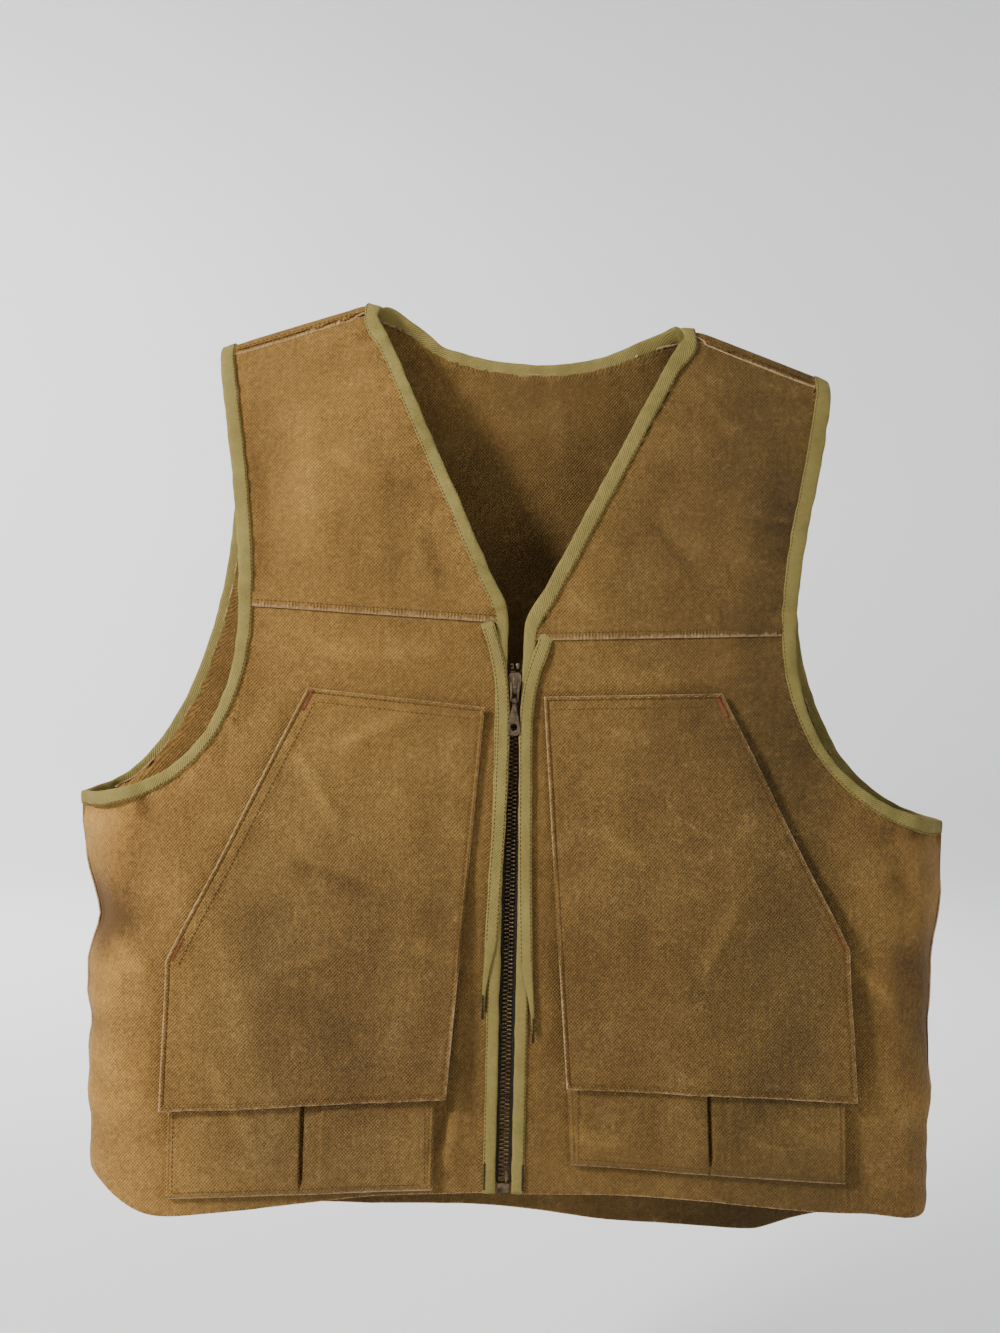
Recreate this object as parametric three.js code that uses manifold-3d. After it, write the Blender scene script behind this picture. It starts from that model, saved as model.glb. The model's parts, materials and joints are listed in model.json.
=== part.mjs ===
// A sleeveless waxed-canvas vest with a metal zip, bound edges and four patch pockets,
// in the shape it takes as it hangs from a hanger.
// Units are millimetres. +Z is up, -Y is the front, +X is the wearer's left.
// The origin is where the hanger holds it: midway between the two neck points, at their height.
import * as THREE from 'three';
import { mergeVertices } from 'three/addons/utils/BufferGeometryUtils.js';
import Module from 'manifold-3d';

const wasm = await Module();
wasm.setup();

// ---------------------------------------------------------------- driving dimensions

// Overall sizes
const chestHalf = 295; // centre line to the side fold at the armpit
const frontLength = 588; // hanger level down to the hem beside the zip
const backDrop = 38; // how much lower the back hem hangs
const chestDepth = 34; // hanger plane out to the front cloth, at the armpit
const hemDepth = 42; // the same at the hem
const backDepth = 30; // hanger plane back to the back cloth
const sideRadius = 40; // roundness of the side folds
const shoulderRoll = 180; // height over which the cloth comes round the hanger

// Cloth
const cloth = 1.2; // two layers of waxed duck, as sewn
const bindingWidth = 8.6;
const bindingThickness = 2.2; // folded tape with the cloth's edge inside
const seamGap = 0.4; // between two cloth edges that meet
const bindingGap = 0.6; // between a cloth edge and the tape that binds it
const stackGap = 0.3; // between two cloth faces that lie on each other
const seamDrop = 9; // the shoulder seam lies this far down the front

// Pockets
const pocketHeight = 254; // lower edge of the flap up to the top edge, at the inner edge
const flapLength = 88; // lower part of the pocket, which lifts as a flap
const pocketGape = 9; // how far the pocket cloth stands off the front
const flapGape = 14.5; // the same at the flap's lower edge, in front of the lower pocket
const foldIn = 3; // width of the turn down to a sewn edge
const lowerPocketDrop = 34; // mouth of the lower pocket below the flap's fold

// Zip
const zipTop = [1, -245]; // x and z of the top stops
const zipFoot = -7; // x at the hem
const chainGap = 0.8; // centre line to each row of teeth, where the slider's post passes
const chainWidth = 2.2; // each half
const chainThickness = 2.6;
const tapeWidth = 12;
const tapeThickness = 0.7;
const zipLift = -1.9; // the chain's middle, behind the middle of the front cloth
const frontEdge = 13; // zip centre line to the edge of each front
const toFrontBinding = 5.2; // zip centre line to the bound front edge
const placketWidth = 8.8;
const placketThickness = 1.6;
const sliderLength = 14;
const sliderWidth = 9.2;
const sliderPlate = 1.4;
const slideGap = 0.3;
const postWidth = 0.9;
const pivotLift = 4.2; // the pull's pivot, in front of the middle of the front cloth
const linkWire = 1.2;
const linkLength = 13;
const linkInside = 3.4;
const bridgeWidth = 2.4;
const bridgeLength = 7;
const leafLength = 25;
const leafWidth = 8;
const leafThickness = 1.2;
const leafHole = 2.4;
const eyeRadius = 1.1; // of the hole that the link's bar turns in
const knuckleRadius = 2;
const stopLength = 4;
const boxHeight = 6;
const boxWidth = 8.4;
const boxThickness = 4.2;
const pinLength = 14;
const pinWidth = 1.6;

// The two sides differ, because the old cloth hangs a little lower on the wearer's left.
// Heights are z. Distances across are counted outwards from the centre.
const right = {
    name: 'right', sign: -1,
    neck: [101, 6], ridgeSlope: 0.3, shoulder: 190,
    scoop: [174, -200], armControls: [[183, -85], [173, -140], [175, -275], [212, -336]],
    backScoop: [190, -140], backControls: [[187, -70], [186, -105], [196, -215], [235, -325]],
    pit: -337, taper: 0.02, hem: [0, -15, 9], vFoot: -211,
    pocket: { rise: 64, slope: -8, topSlope: 13, innerTop: 19, innerLow: 44, outerTop: 136, outerLow: 230 },
    lowerPocket: { inner: 53, outer: 227, rise: 4, slope: -6 },
    placket: [[14.5, -215], [9.5, -230], [3.6, -262], [2.9, -275], [3, -320], [6.6, -410], [7.4, -434], [9, -470]],
};
const left = {
    name: 'left', sign: 1,
    neck: [125, -11], ridgeSlope: 0.39, shoulder: 207,
    scoop: [179, -220], armControls: [[198, -110], [180, -165], [179, -290], [222, -350]],
    backScoop: [193, -165], backControls: [[203, -90], [195, -125], [190, -262], [222, -342]],
    pit: -358, taper: 0.04, hem: [-1, -14, -22], vFoot: -223,
    pocket: { rise: 71, slope: -9, topSlope: 2, innerTop: 20, innerLow: 34, outerTop: 138, outerLow: 222 },
    lowerPocket: { inner: 37, outer: 217, rise: 20, slope: -13 },
    placket: [[14.5, -227], [8.5, -245], [5, -262], [4, -275], [4.3, -320], [6.4, -410], [8, -450], [10.5, -484]],
};
const sides = [right, left];

// The back neck edge, from right to left
const backNeck = [[-95, -1], [-80, -8], [-66, -17], [-50, -28], [-15, -37], [22, -40], [58, -37],
    [88, -27], [106, -21], [119, -17]];
// The back hem below the front's: x and how much further down than backDrop
const backHem = [[-209, 2], [-38, 0], [95, -14], [170, -18], [225, -4]];

// ---------------------------------------------------------------- the hanging shape

const flatHalf = chestHalf - sideRadius;
const sideArc = sideRadius * Math.PI / 2;
const depthSlope = (hemDepth - chestDepth) / (frontLength + right.pit);

const sideOf = (x) => (x < 0 ? right : left);
const frontDepth = (z) => chestDepth + depthSlope * (right.pit - z);
const roll = (drop) => Math.sqrt(1 - (1 - Math.min(Math.max(drop, 0) / shoulderRoll, 1)) ** 2);
const zipX = (z) => zipFoot + (zipTop[0] - zipFoot) * (z + frontLength) / (zipTop[1] + frontLength);

// Height of the fold over the hanger, where front and back cloth meet
function ridgeAt(x) {
    const side = sideOf(x);
    const out = Math.abs(x) - side.neck[0];
    if (out > 0) return side.neck[1] - side.ridgeSlope * out;
    const across = (x + right.neck[0]) / (right.neck[0] + left.neck[0]);
    return THREE.MathUtils.lerp(right.neck[1], left.neck[1], across);
}

// The sides draw in a little towards the hem
function taperAt(side, z) {
    const below = Math.min(Math.max((side.pit - z) / (side.pit + frontLength), 0), 1.2);
    return 1 - side.taper * below;
}

// The cloth is laid out on a flat sheet: across is the distance round the body from the centre,
// and up is the height on the back, which goes on over the fold and down the front.
function bodyPoint(across, up) {
    const sign = Math.sign(across);
    const turn = Math.min(Math.max((Math.abs(across) - flatHalf) / sideRadius, 0), Math.PI / 2);
    const x = sign * (Math.min(Math.abs(across), flatHalf) + sideRadius * Math.sin(turn));
    const ridge = ridgeAt(x);
    const onFront = up > ridge;
    const z = onFront ? 2 * ridge - up : up;
    const depth = (onFront ? -frontDepth(z) : backDepth) * roll(ridge - z) * Math.cos(turn);
    return new THREE.Vector3(x * taperAt(sideOf(x), z), depth, z);
}

// A point that stands off the sheet's middle by lift, outwards from the body
function offBody([across, up, lift = 0], extra) {
    const step = 0.05;
    const inward = across < 0 ? step : -step;
    const point = bodyPoint(across, up);
    const alongAcross = bodyPoint(across + inward, up).sub(point).multiplyScalar(Math.sign(inward));
    const alongUp = bodyPoint(across, up + step).sub(bodyPoint(across, up - step));
    const normal = alongUp.cross(alongAcross).normalize();
    return point.addScaledVector(normal, lift + extra);
}

// Sheet places of points given by x and z as they hang
function sheetAcross(side, x, z) {
    const reach = x / taperAt(side, z) - flatHalf;
    if (reach <= 0) return side.sign * (flatHalf + reach);
    return side.sign * (flatHalf + sideRadius * Math.asin(Math.min(reach / sideRadius, 1)));
}
const onBack = (side, [x, z]) => [sheetAcross(side, x, z), z];
function onFront(side, [x, z]) {
    const across = sheetAcross(side, x, z);
    const reach = side.sign * x / taperAt(side, z);
    return [across, 2 * ridgeAt(reach) - z];
}

// ---------------------------------------------------------------- mesh helpers

function closedMesh(vertices, triangles) {
    const geometry = new THREE.BufferGeometry();
    geometry.setAttribute('position', new THREE.Float32BufferAttribute(vertices.flatMap((v) => v.toArray()), 3));
    geometry.setIndex(triangles.flat());
    return facingOut(geometry);
}

// Turns every triangle round if the mesh is inside out
function facingOut(geometry) {
    const at = geometry.attributes.position;
    const index = geometry.index.array;
    const [a, b, c] = [new THREE.Vector3(), new THREE.Vector3(), new THREE.Vector3()];
    let volume = 0;
    for (let i = 0; i < index.length; i += 3) {
        a.fromBufferAttribute(at, index[i]);
        b.fromBufferAttribute(at, index[i + 1]);
        c.fromBufferAttribute(at, index[i + 2]);
        volume += a.dot(b.cross(c));
    }
    if (volume < 0) geometry.setIndex(Array.from(index).reverse());
    return geometry;
}

// A sheet of cloth: rows of [across, up, lift] points, given a thickness and closed all round
function slab(rows, thickness) {
    const n = rows[0].length;
    const vertices = [];
    for (const half of [thickness / 2, -thickness / 2]) {
        for (const row of rows) for (const point of row) vertices.push(offBody(point, half));
    }
    const layer = rows.length * n;
    const triangles = [];
    const quad = (a, b, c, d) => triangles.push([a, b, c], [a, c, d]);
    for (let i = 0; i + 1 < rows.length; i++) {
        for (let j = 0; j + 1 < n; j++) {
            const [a, b, c, d] = [i * n + j, i * n + j + 1, (i + 1) * n + j + 1, (i + 1) * n + j];
            quad(a, b, c, d);
            quad(d + layer, c + layer, b + layer, a + layer);
        }
    }
    const rim = [];
    for (let j = 0; j < n; j++) rim.push(j);
    for (let i = 1; i < rows.length; i++) rim.push(i * n + n - 1);
    for (let j = n - 2; j >= 0; j--) rim.push((rows.length - 1) * n + j);
    for (let i = rows.length - 2; i > 0; i--) rim.push(i * n);
    rim.forEach((a, k) => {
        const b = rim[(k + 1) % rim.length];
        quad(b, a, a + layer, b + layer);
    });
    return closedMesh(vertices, triangles);
}

// A tape that runs beside an edge: path is a list of sheet points, on which side is +1 or -1
function tape(path, onSide, from, width, thickness, lift = 0) {
    const rows = path.map((point, i) => {
        const before = path[Math.max(i - 1, 0)];
        const after = path[Math.min(i + 1, path.length - 1)];
        const along = new THREE.Vector2(after[0] - before[0], after[1] - before[1]).normalize();
        return [from, from + width].map((off) => [
            point[0] - onSide * along.y * off, point[1] + onSide * along.x * off, lift]);
    });
    return slab(rows, thickness);
}

function toManifold(geometry) {
    const plain = geometry.clone();
    plain.deleteAttribute('normal');
    plain.deleteAttribute('uv');
    const merged = mergeVertices(plain, 1e-4);
    return new wasm.Manifold(new wasm.Mesh({
        numProp: 3,
        vertProperties: Float32Array.from(merged.attributes.position.array),
        triVerts: Uint32Array.from(merged.index.array),
    }));
}

function fromManifold(solid) {
    const { vertProperties, triVerts } = solid.getMesh();
    const geometry = new THREE.BufferGeometry();
    geometry.setAttribute('position', new THREE.BufferAttribute(Float32Array.from(vertProperties), 3));
    geometry.setIndex(Array.from(triVerts));
    return geometry;
}

function box(width, depth, height, x = 0, y = 0, z = 0) {
    return new THREE.BoxGeometry(width, depth, height).translate(x, y, z);
}

// An outline in x and z, given a thickness along y with its middle at y = 0
function plate(outline, thickness) {
    const geometry = new THREE.ExtrudeGeometry(outline, { depth: thickness, bevelEnabled: false, curveSegments: 8 });
    return geometry.rotateX(Math.PI / 2).translate(0, thickness / 2, 0);
}

const spread = (n, from = 0, to = 1) => Array.from({ length: n + 1 }, (_, i) => from + (to - from) * i / n);
const mix = (a, b, t) => a.map((value, i) => THREE.MathUtils.lerp(value, b[i], t));

function bezier(points, n) {
    const curve = new THREE.CubicBezierCurve(...points.map((p) => new THREE.Vector2(...p)));
    return curve.getPoints(n).map((p) => [p.x, p.y]);
}

// Height at x on a smooth curve through points listed by rising x
function heightOn(points, x) {
    const last = points.length - 2;
    const i = Math.min(Math.max(points.findIndex((p) => p[0] > x) - 1, 0), last);
    const found = x >= points[last + 1][0] ? last : i;
    const [a, b] = [points[found], points[found + 1]];
    const t = Math.min(Math.max((x - a[0]) / (b[0] - a[0]), 0), 1);
    return THREE.MathUtils.lerp(a[1], b[1], t * t * (3 - 2 * t));
}

// ---------------------------------------------------------------- edges shared by the pieces

const seamSteps = 5;
const vStart = 0.012; // share of the neckline left free at its foot
const wrapDrops = [4, 1, -1, -4, -9, -16]; // over the shoulder fold, from the front seam to the back

for (const side of sides) {
    const [top, low] = [side.armControls.slice(0, 2), side.armControls.slice(2)];
    const shoulderZ = ridgeAt(side.sign * side.shoulder);
    const pit = [chestHalf, side.pit];
    side.upperArm = bezier([[side.shoulder, shoulderZ - seamDrop], ...top, side.scoop], 7)
        .map((p) => onFront(side, p));
    side.lowerArm = bezier([side.scoop, ...low, pit], 9).map((p) => onFront(side, p));
    const [backTop, backLow] = [side.backControls.slice(0, 2), side.backControls.slice(2)];
    const backStart = [side.shoulder, shoulderZ + wrapDrops.at(-1)];
    const upper = bezier([backStart, ...backTop, side.backScoop], 4);
    const lower = bezier([side.backScoop, ...backLow, pit], 7);
    side.backArm = [...upper, ...lower.slice(1)].map((p) => onBack(side, p));
    side.armWrap = wrapDrops.slice(0, -1).map((drop) => [side.sign * side.shoulder, shoulderZ + drop]);
    side.neckSeam = [side.neck[0], side.neck[1] - seamDrop];
    side.vBottom = [side.sign * zipX(side.vFoot) + frontEdge, side.vFoot];
    side.yokeSeam = spread(seamSteps).map((t) => onFront(side, mix(side.vBottom, side.scoop, t)));
    side.vEdge = spread(8, vStart).map((t) => onFront(side, mix(side.vBottom, side.neckSeam, t)));
}

// The neck edge over both folds and across the back, from right to left
const neckEdge = new THREE.SplineCurve([
    [-right.neck[0], right.neck[1] + seamDrop - seamGap], [-right.neck[0] + 1, right.neck[1]],
    ...backNeck,
    [left.neck[0] - 1, left.neck[1]], [left.neck[0], left.neck[1] + seamDrop - seamGap],
].map((p) => new THREE.Vector2(...p))).getPoints(22).map((p) => [p.x, p.y]);

const frontHemPoints = (side) => [
    [0, side.hem[0] - frontLength], [60, side.hem[0] - frontLength], [240, side.hem[1] - frontLength],
    [chestHalf, side.hem[2] - frontLength],
];
const backHemPoints = [
    [-chestHalf, right.hem[2] - frontLength],
    ...backHem.map(([x, more]) => [x, more - frontLength - backDrop]),
    [chestHalf, left.hem[2] - frontLength],
];
const seamEdge = flatHalf + sideArc - seamGap / 2;

// ---------------------------------------------------------------- cloth pieces

function backPanel() {
    const shoulderSeam = (side, t) => {
        const x = side.sign * THREE.MathUtils.lerp(side.shoulder, side.neck[0], t);
        return [x, ridgeAt(x) + seamDrop - seamGap];
    };
    const shoulderSteps = [0, 0.12, 0.25, 0.4, 0.6, 0.8];
    const top = [
        ...shoulderSteps.map((t) => shoulderSeam(right, t)),
        ...neckEdge,
        ...shoulderSteps.toReversed().map((t) => shoulderSeam(left, t)),
    ];
    const [first, last] = [top[0], top.at(-1)];
    const shares = top.map(([x]) => (x - first[0]) / (last[0] - first[0]));
    const belowArm = 4;
    const rows = [];
    const addRow = (onRight, onLeft, hemShare, topShare) => rows.push(shares.map((share, j) => {
        const [across, up] = mix(onRight, onLeft, share);
        const hemLine = THREE.MathUtils.lerp(right.hem[2], left.hem[2], share) - frontLength;
        const hemHere = heightOn(backHemPoints, bodyPoint(across, up).x) - hemLine;
        const topLine = THREE.MathUtils.lerp(first[1], last[1], share);
        return [across, up + hemShare * hemHere + topShare * (top[j][1] - topLine)];
    }));
    for (const t of spread(belowArm).slice(0, -1)) {
        const [low, high] = sides.map((side) => [
            side.sign * seamEdge, THREE.MathUtils.lerp(side.hem[2] - frontLength, side.pit, t)]);
        addRow(low, high, 1 - t, 0);
    }
    const arms = sides.map((side) => {
        const edge = [...side.backArm].reverse();
        edge[0] = [side.sign * seamEdge, side.pit];
        return [...edge, ...side.armWrap.toReversed(),
            [side.sign * side.shoulder, ridgeAt(side.sign * side.shoulder) + seamDrop - seamGap]];
    });
    const wrapStart = right.backArm.length - 1;
    arms[0].forEach((onRight, i) => {
        const risen = Math.min(i / wrapStart, 1);
        addRow(onRight, arms[1][i], 0, risen ** 3);
    });
    return slab(rows, cloth);
}

function yoke(side) {
    const arm = side.upperArm.toReversed();
    const neck = spread(arm.length - 1).map((t) => onFront(side, mix(side.vBottom, side.neckSeam, t)));
    return slab(arm.map((outer, i) => side.yokeSeam.map((seam, j) => {
        const [across, up] = mix(neck[i], outer, j / seamSteps);
        const seamLine = THREE.MathUtils.lerp(side.yokeSeam[0][1], side.yokeSeam[seamSteps][1], j / seamSteps);
        const toSeam = (1 - i / (arm.length - 1)) * (seam[1] - seamLine);
        return [across, up + toSeam - (i === 0 ? seamGap / 2 : 0)];
    })), cloth);
}

function frontPanel(side) {
    const top = [
        ...side.yokeSeam.slice(0, -1),
        ...side.lowerArm.slice(0, -1),
        [side.sign * seamEdge, side.lowerArm.at(-1)[1]],
    ];
    const cornerAt = seamSteps;
    const columns = top.length - 1;
    const hemInner = side.sign * sheetAcross(side, side.sign * zipX(-frontLength) + frontEdge, -frontLength);
    const hemCorner = 205; // below the armhole's narrowest place
    const hemAcross = top.map((_, j) => {
        if (j <= cornerAt) return THREE.MathUtils.lerp(hemInner, hemCorner, j / cornerAt);
        return THREE.MathUtils.lerp(hemCorner, seamEdge, (j - cornerAt) / (columns - cornerAt));
    });
    const hem = hemAcross.map((across) => {
        const turn = Math.max(across - flatHalf, 0) / sideRadius;
        const x = Math.min(across, flatHalf) + sideRadius * Math.sin(turn);
        const z = heightOn(frontHemPoints(side), x);
        return [side.sign * across, 2 * ridgeAt(side.sign * x) - z];
    });
    const rows = spread(6).map((t) => top.map((high, j) => {
        const [across, up] = mix(hem[j], high, t);
        return [across, up + (t === 1 ? seamGap / 2 : 0)];
    }));
    return slab(rows, cloth);
}

function neckBinding() {
    const path = [...right.vEdge, ...neckEdge.slice(1, -1), ...left.vEdge.toReversed()];
    return tape(path, 1, bindingGap, bindingWidth, bindingThickness);
}

function armholeBinding(side) {
    const endGap = seamGap / 2;
    const front = side.lowerArm.toReversed();
    const back = [...side.backArm];
    front[0] = [side.sign * (flatHalf + sideArc - endGap), front[0][1]];
    back[back.length - 1] = [side.sign * (flatHalf + sideArc - endGap), side.pit];
    const path = [...front, ...side.upperArm.toReversed().slice(1), ...side.armWrap, ...back];
    return tape(path, side.sign, bindingGap, bindingWidth, bindingThickness);
}

function placket(side) {
    const lift = bindingThickness / 2 + stackGap + placketThickness / 2;
    const path = side.placket.map(([out, z]) => onFront(side, [side.sign * zipX(z) + out, z]));
    return tape(path, -side.sign, 0, placketWidth, placketThickness, lift);
}

// ---------------------------------------------------------------- pockets

const sewnLift = cloth + stackGap;

// Corners of the pentagon pocket, as x and z: its top, its fold and its lower edge
function pocketCorners(side) {
    const { rise, slope, topSlope, innerTop, innerLow, outerTop, outerLow } = side.pocket;
    const low = rise - frontLength;
    const foldShare = flapLength / pocketHeight;
    const innerFold = THREE.MathUtils.lerp(innerLow, innerTop, foldShare);
    return {
        top: [[innerTop, low + pocketHeight], [outerTop, low + pocketHeight + topSlope]],
        fold: [[innerFold, low + flapLength], [outerLow - 3, low + flapLength]],
        low: [[innerLow, low], [outerLow, low + slope]],
    };
}

// A pocket front between two lines of [x, z] points, turned down to the cloth at its sewn edges
function pocketFront(side, lowLine, highLine, sewn) {
    const width = Math.abs(lowLine[1][0] - lowLine[0][0]);
    const height = Math.abs(highLine[0][1] - lowLine[0][1]);
    const across = [0, foldIn / width, 0.5, 1 - foldIn / width, 1];
    const up = [0, foldIn / height, 0.5, 1 - foldIn / height, 1];
    const rows = up.map((v) => across.map((u) => {
        const edges = [u === 0 && sewn.inner, u === 1 && sewn.outer, v === 0 && sewn.low, v === 1 && sewn.top];
        const point = mix(mix(...lowLine, u), mix(...highLine, u), v);
        return [...onFront(side, point), edges.some(Boolean) ? sewnLift : pocketGape];
    }));
    return slab(rows, cloth);
}

function handPocket(side) {
    const { top, fold } = pocketCorners(side);
    const above = fold.map(([x, z]) => [x, z + seamGap]);
    return pocketFront(side, above, top, { inner: true, outer: false, low: true, top: true });
}

function flap(side) {
    const { fold, low } = pocketCorners(side);
    const below = fold.map(([x, z]) => [x, z - cloth]);
    const rows = [[low, flapGape], [below, pocketGape]].map(([line, lift]) => spread(2)
        .map((u) => [...onFront(side, mix(...line, u)), lift]));
    return slab(rows, cloth);
}

function lowerPocket(side) {
    const { fold } = pocketCorners(side);
    const { inner, outer, rise, slope } = side.lowerPocket;
    const low = rise - frontLength;
    const mouth = fold[0][1] - lowerPocketDrop;
    const lowLine = [[inner, low], [outer, low + slope]];
    const highLine = [[inner - 4, mouth], [outer - 1, mouth]];
    return pocketFront(side, lowLine, highLine, { inner: true, outer: true, low: true, top: false });
}

// ---------------------------------------------------------------- zip

// The zip's own frame: its origin at the top stops, z up the chain, y into the body
const zipStart = new THREE.Vector3(zipTop[0], -frontDepth(zipTop[1]), zipTop[1]);
const zipEnd = new THREE.Vector3(zipFoot, -frontDepth(-frontLength), -frontLength);
const zipUp = zipStart.clone().sub(zipEnd).normalize();
const zipIn = new THREE.Vector3(0, 1, -depthSlope).normalize();
const zipAcross = zipIn.clone().cross(zipUp).normalize();
const zipLength = zipStart.distanceTo(zipEnd);
const boxTop = -zipLength + boxHeight;

function chainHalf(side) {
    const foot = side === left ? boxTop + pinLength - boxHeight + slideGap : boxTop + slideGap;
    const x = side.sign * (chainGap + chainWidth / 2);
    return box(chainWidth, chainThickness, -foot, x, -zipLift, foot / 2);
}

function zipTape(side) {
    const x = side.sign * (chainGap + chainWidth + slideGap + tapeWidth / 2);
    const foot = -zipLength + boxHeight + slideGap;
    return box(tapeWidth, tapeThickness, -foot + stopLength, x, -zipLift, (foot + stopLength) / 2);
}

function frontBinding(side) {
    const width = frontEdge - seamGap - toFrontBinding;
    const top = 12;
    const x = side.sign * (toFrontBinding + width / 2);
    return box(width, bindingThickness, zipLength + top, x, 0, (top - zipLength) / 2);
}

function topStop(side) {
    const z = slideGap + stopLength / 2;
    return box(chainWidth, chainThickness + 0.6, stopLength, side.sign * (chainGap + chainWidth / 2), -zipLift, z);
}

function slider() {
    const half = sliderWidth / 2;
    const outline = new THREE.Shape();
    outline.moveTo(-half * 0.7, -sliderLength / 2);
    outline.lineTo(half * 0.7, -sliderLength / 2);
    outline.lineTo(half, sliderLength * 0.1);
    outline.quadraticCurveTo(half, sliderLength / 2, half * 0.5, sliderLength / 2);
    outline.lineTo(-half * 0.5, sliderLength / 2);
    outline.quadraticCurveTo(-half, sliderLength / 2, -half, sliderLength * 0.1);
    const toPlate = chainThickness / 2 + slideGap + sliderPlate / 2;
    const frontFace = -zipLift - toPlate;
    const front = plate(outline, sliderPlate).translate(0, frontFace, 0);
    const back = plate(outline, sliderPlate).translate(0, -zipLift + toPlate, 0);
    const post = box(postWidth, 2 * toPlate, 4, 0, -zipLift, sliderLength / 2 - 2.5);
    const bridgeFoot = frontFace + 0.2;
    const bridgeHeight = bridgeFoot + pivotLift + linkWire / 2 + 1.3;
    const bridge = box(bridgeWidth, bridgeHeight, bridgeLength, 0, bridgeFoot - bridgeHeight / 2, 0);
    const tunnel = box(bridgeWidth + 2, linkWire + 0.8, linkWire + 2.6, 0, -pivotLift, 0);
    return fromManifold(toManifold(front).add(toManifold(back)).add(toManifold(post))
        .add(toManifold(bridge)).subtract(toManifold(tunnel)));
}

// A flat ring through the bridge, hanging from its upper bar
function pullLink() {
    const width = linkInside + 2 * linkWire;
    const ring = box(width, linkWire, linkLength, 0, 0, linkWire / 2 - linkLength / 2);
    const inside = box(linkInside, linkWire + 1, linkLength - 2 * linkWire, 0, 0, linkWire / 2 - linkLength / 2);
    return fromManifold(toManifold(ring).subtract(toManifold(inside)));
}

// A flat pull whose knuckle turns on the link's lower bar
function pullLeaf() {
    const neckHalf = linkInside / 2 - 0.4;
    const half = leafWidth / 2;
    const foot = -leafLength + knuckleRadius;
    const outline = new THREE.Shape();
    outline.moveTo(-neckHalf, -eyeRadius - 0.3);
    outline.lineTo(-neckHalf, -4);
    outline.lineTo(-half, foot + 7);
    outline.lineTo(-half, foot + 3.5);
    outline.quadraticCurveTo(-half, foot, 0, foot);
    outline.quadraticCurveTo(half, foot, half, foot + 3.5);
    outline.lineTo(half, foot + 7);
    outline.lineTo(neckHalf, -4);
    outline.lineTo(neckHalf, -eyeRadius - 0.3);
    outline.holes.push(new THREE.Path().absarc(0, foot + 5.5, leafHole, 0, 2 * Math.PI, true));
    const rod = (radius, length) => new THREE.CylinderGeometry(radius, radius, length, 20).rotateZ(Math.PI / 2);
    return fromManifold(toManifold(plate(outline, leafThickness))
        .add(toManifold(rod(knuckleRadius, 2 * neckHalf)))
        .subtract(toManifold(rod(eyeRadius, 2 * neckHalf + 1))));
}

function retainerBox() {
    const block = box(boxWidth, boxThickness, boxHeight, 0, -zipLift, -zipLength + boxHeight / 2);
    const socketX = chainGap + chainWidth / 2;
    const depth = boxHeight - 1;
    const socket = box(pinWidth + 0.8, pinWidth + 0.8, 2 * depth, socketX, -zipLift, boxTop);
    return fromManifold(toManifold(block).subtract(toManifold(socket)));
}

function insertionPin() {
    const foot = boxTop - boxHeight + 1 + slideGap;
    const head = boxTop + pinLength - boxHeight;
    return box(pinWidth, pinWidth, head - foot, chainGap + chainWidth / 2, -zipLift, (head + foot) / 2);
}

// ---------------------------------------------------------------- assembly

const canvas = { color: 0x8a6335, roughness: 0.8, metalness: 0 };
const twill = { color: 0x8f8450, roughness: 0.85, metalness: 0 };
const darkTape = { color: 0x2c241a, roughness: 0.9, metalness: 0 };
const darkMetal = { color: 0x4a3f30, roughness: 0.45, metalness: 0.9 };

const vest = new THREE.Group();

function add(parent, name, geometry, look) {
    const mesh = new THREE.Mesh(geometry, new THREE.MeshStandardMaterial(look));
    mesh.name = name;
    parent.add(mesh);
    return mesh;
}

const zip = new THREE.Group();
zip.position.copy(zipStart);
zip.quaternion.setFromRotationMatrix(new THREE.Matrix4().makeBasis(zipAcross, zipIn, zipUp));
vest.add(zip);

add(vest, 'back_panel', backPanel(), canvas);
add(vest, 'neck_binding', neckBinding(), twill);
for (const side of sides) {
    add(vest, `${side.name}_yoke`, yoke(side), canvas);
    add(vest, `${side.name}_front_panel`, frontPanel(side), canvas);
    add(vest, `${side.name}_armhole_binding`, armholeBinding(side), twill);
    add(vest, `${side.name}_placket_binding`, placket(side), twill);
    add(vest, `${side.name}_hand_pocket`, handPocket(side), canvas);
    add(vest, `${side.name}_pocket_flap`, flap(side), canvas);
    add(vest, `${side.name}_lower_pocket`, lowerPocket(side), canvas);
    add(zip, `${side.name}_front_binding`, frontBinding(side), twill);
    add(zip, `${side.name}_zip_tape`, zipTape(side), darkTape);
    add(zip, `${side.name}_zip_teeth`, chainHalf(side), darkMetal);
    add(zip, `${side.name}_top_stop`, topStop(side), darkMetal);
}
add(zip, 'zip_retainer_box', retainerBox(), darkMetal);
add(zip, 'zip_insertion_pin', insertionPin(), darkMetal);

const sliderGroup = new THREE.Group();
sliderGroup.position.z = -sliderLength / 2 - 2;
zip.add(sliderGroup);
add(sliderGroup, 'zip_slider', slider(), darkMetal);
const link = add(sliderGroup, 'pull_link', pullLink(), darkMetal);
link.position.set(0, -pivotLift, 0);
const leaf = add(sliderGroup, 'pull_leaf', pullLeaf(), darkMetal);
leaf.position.set(0, -pivotLift, linkWire - linkLength);

export default vest;
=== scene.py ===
# %% [markdown]
# # A waxed-canvas vest
# The vest is cloth hung from a hanger: canvas panels, folded twill tape round their edges, four
# patch pockets and a metal zip. The CAD gives every piece its place. Here each piece is made
# again as cloth: the CAD's outer side is taken, refined, rumpled, given its thickness and sewn.

# %% Load the frame
import json
import math
from functools import partial

import bmesh
import bpy
import numpy as np
from mathutils import Matrix, Vector, noise
from mathutils.bvhtree import BVHTree
from mathutils.kdtree import KDTree


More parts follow.
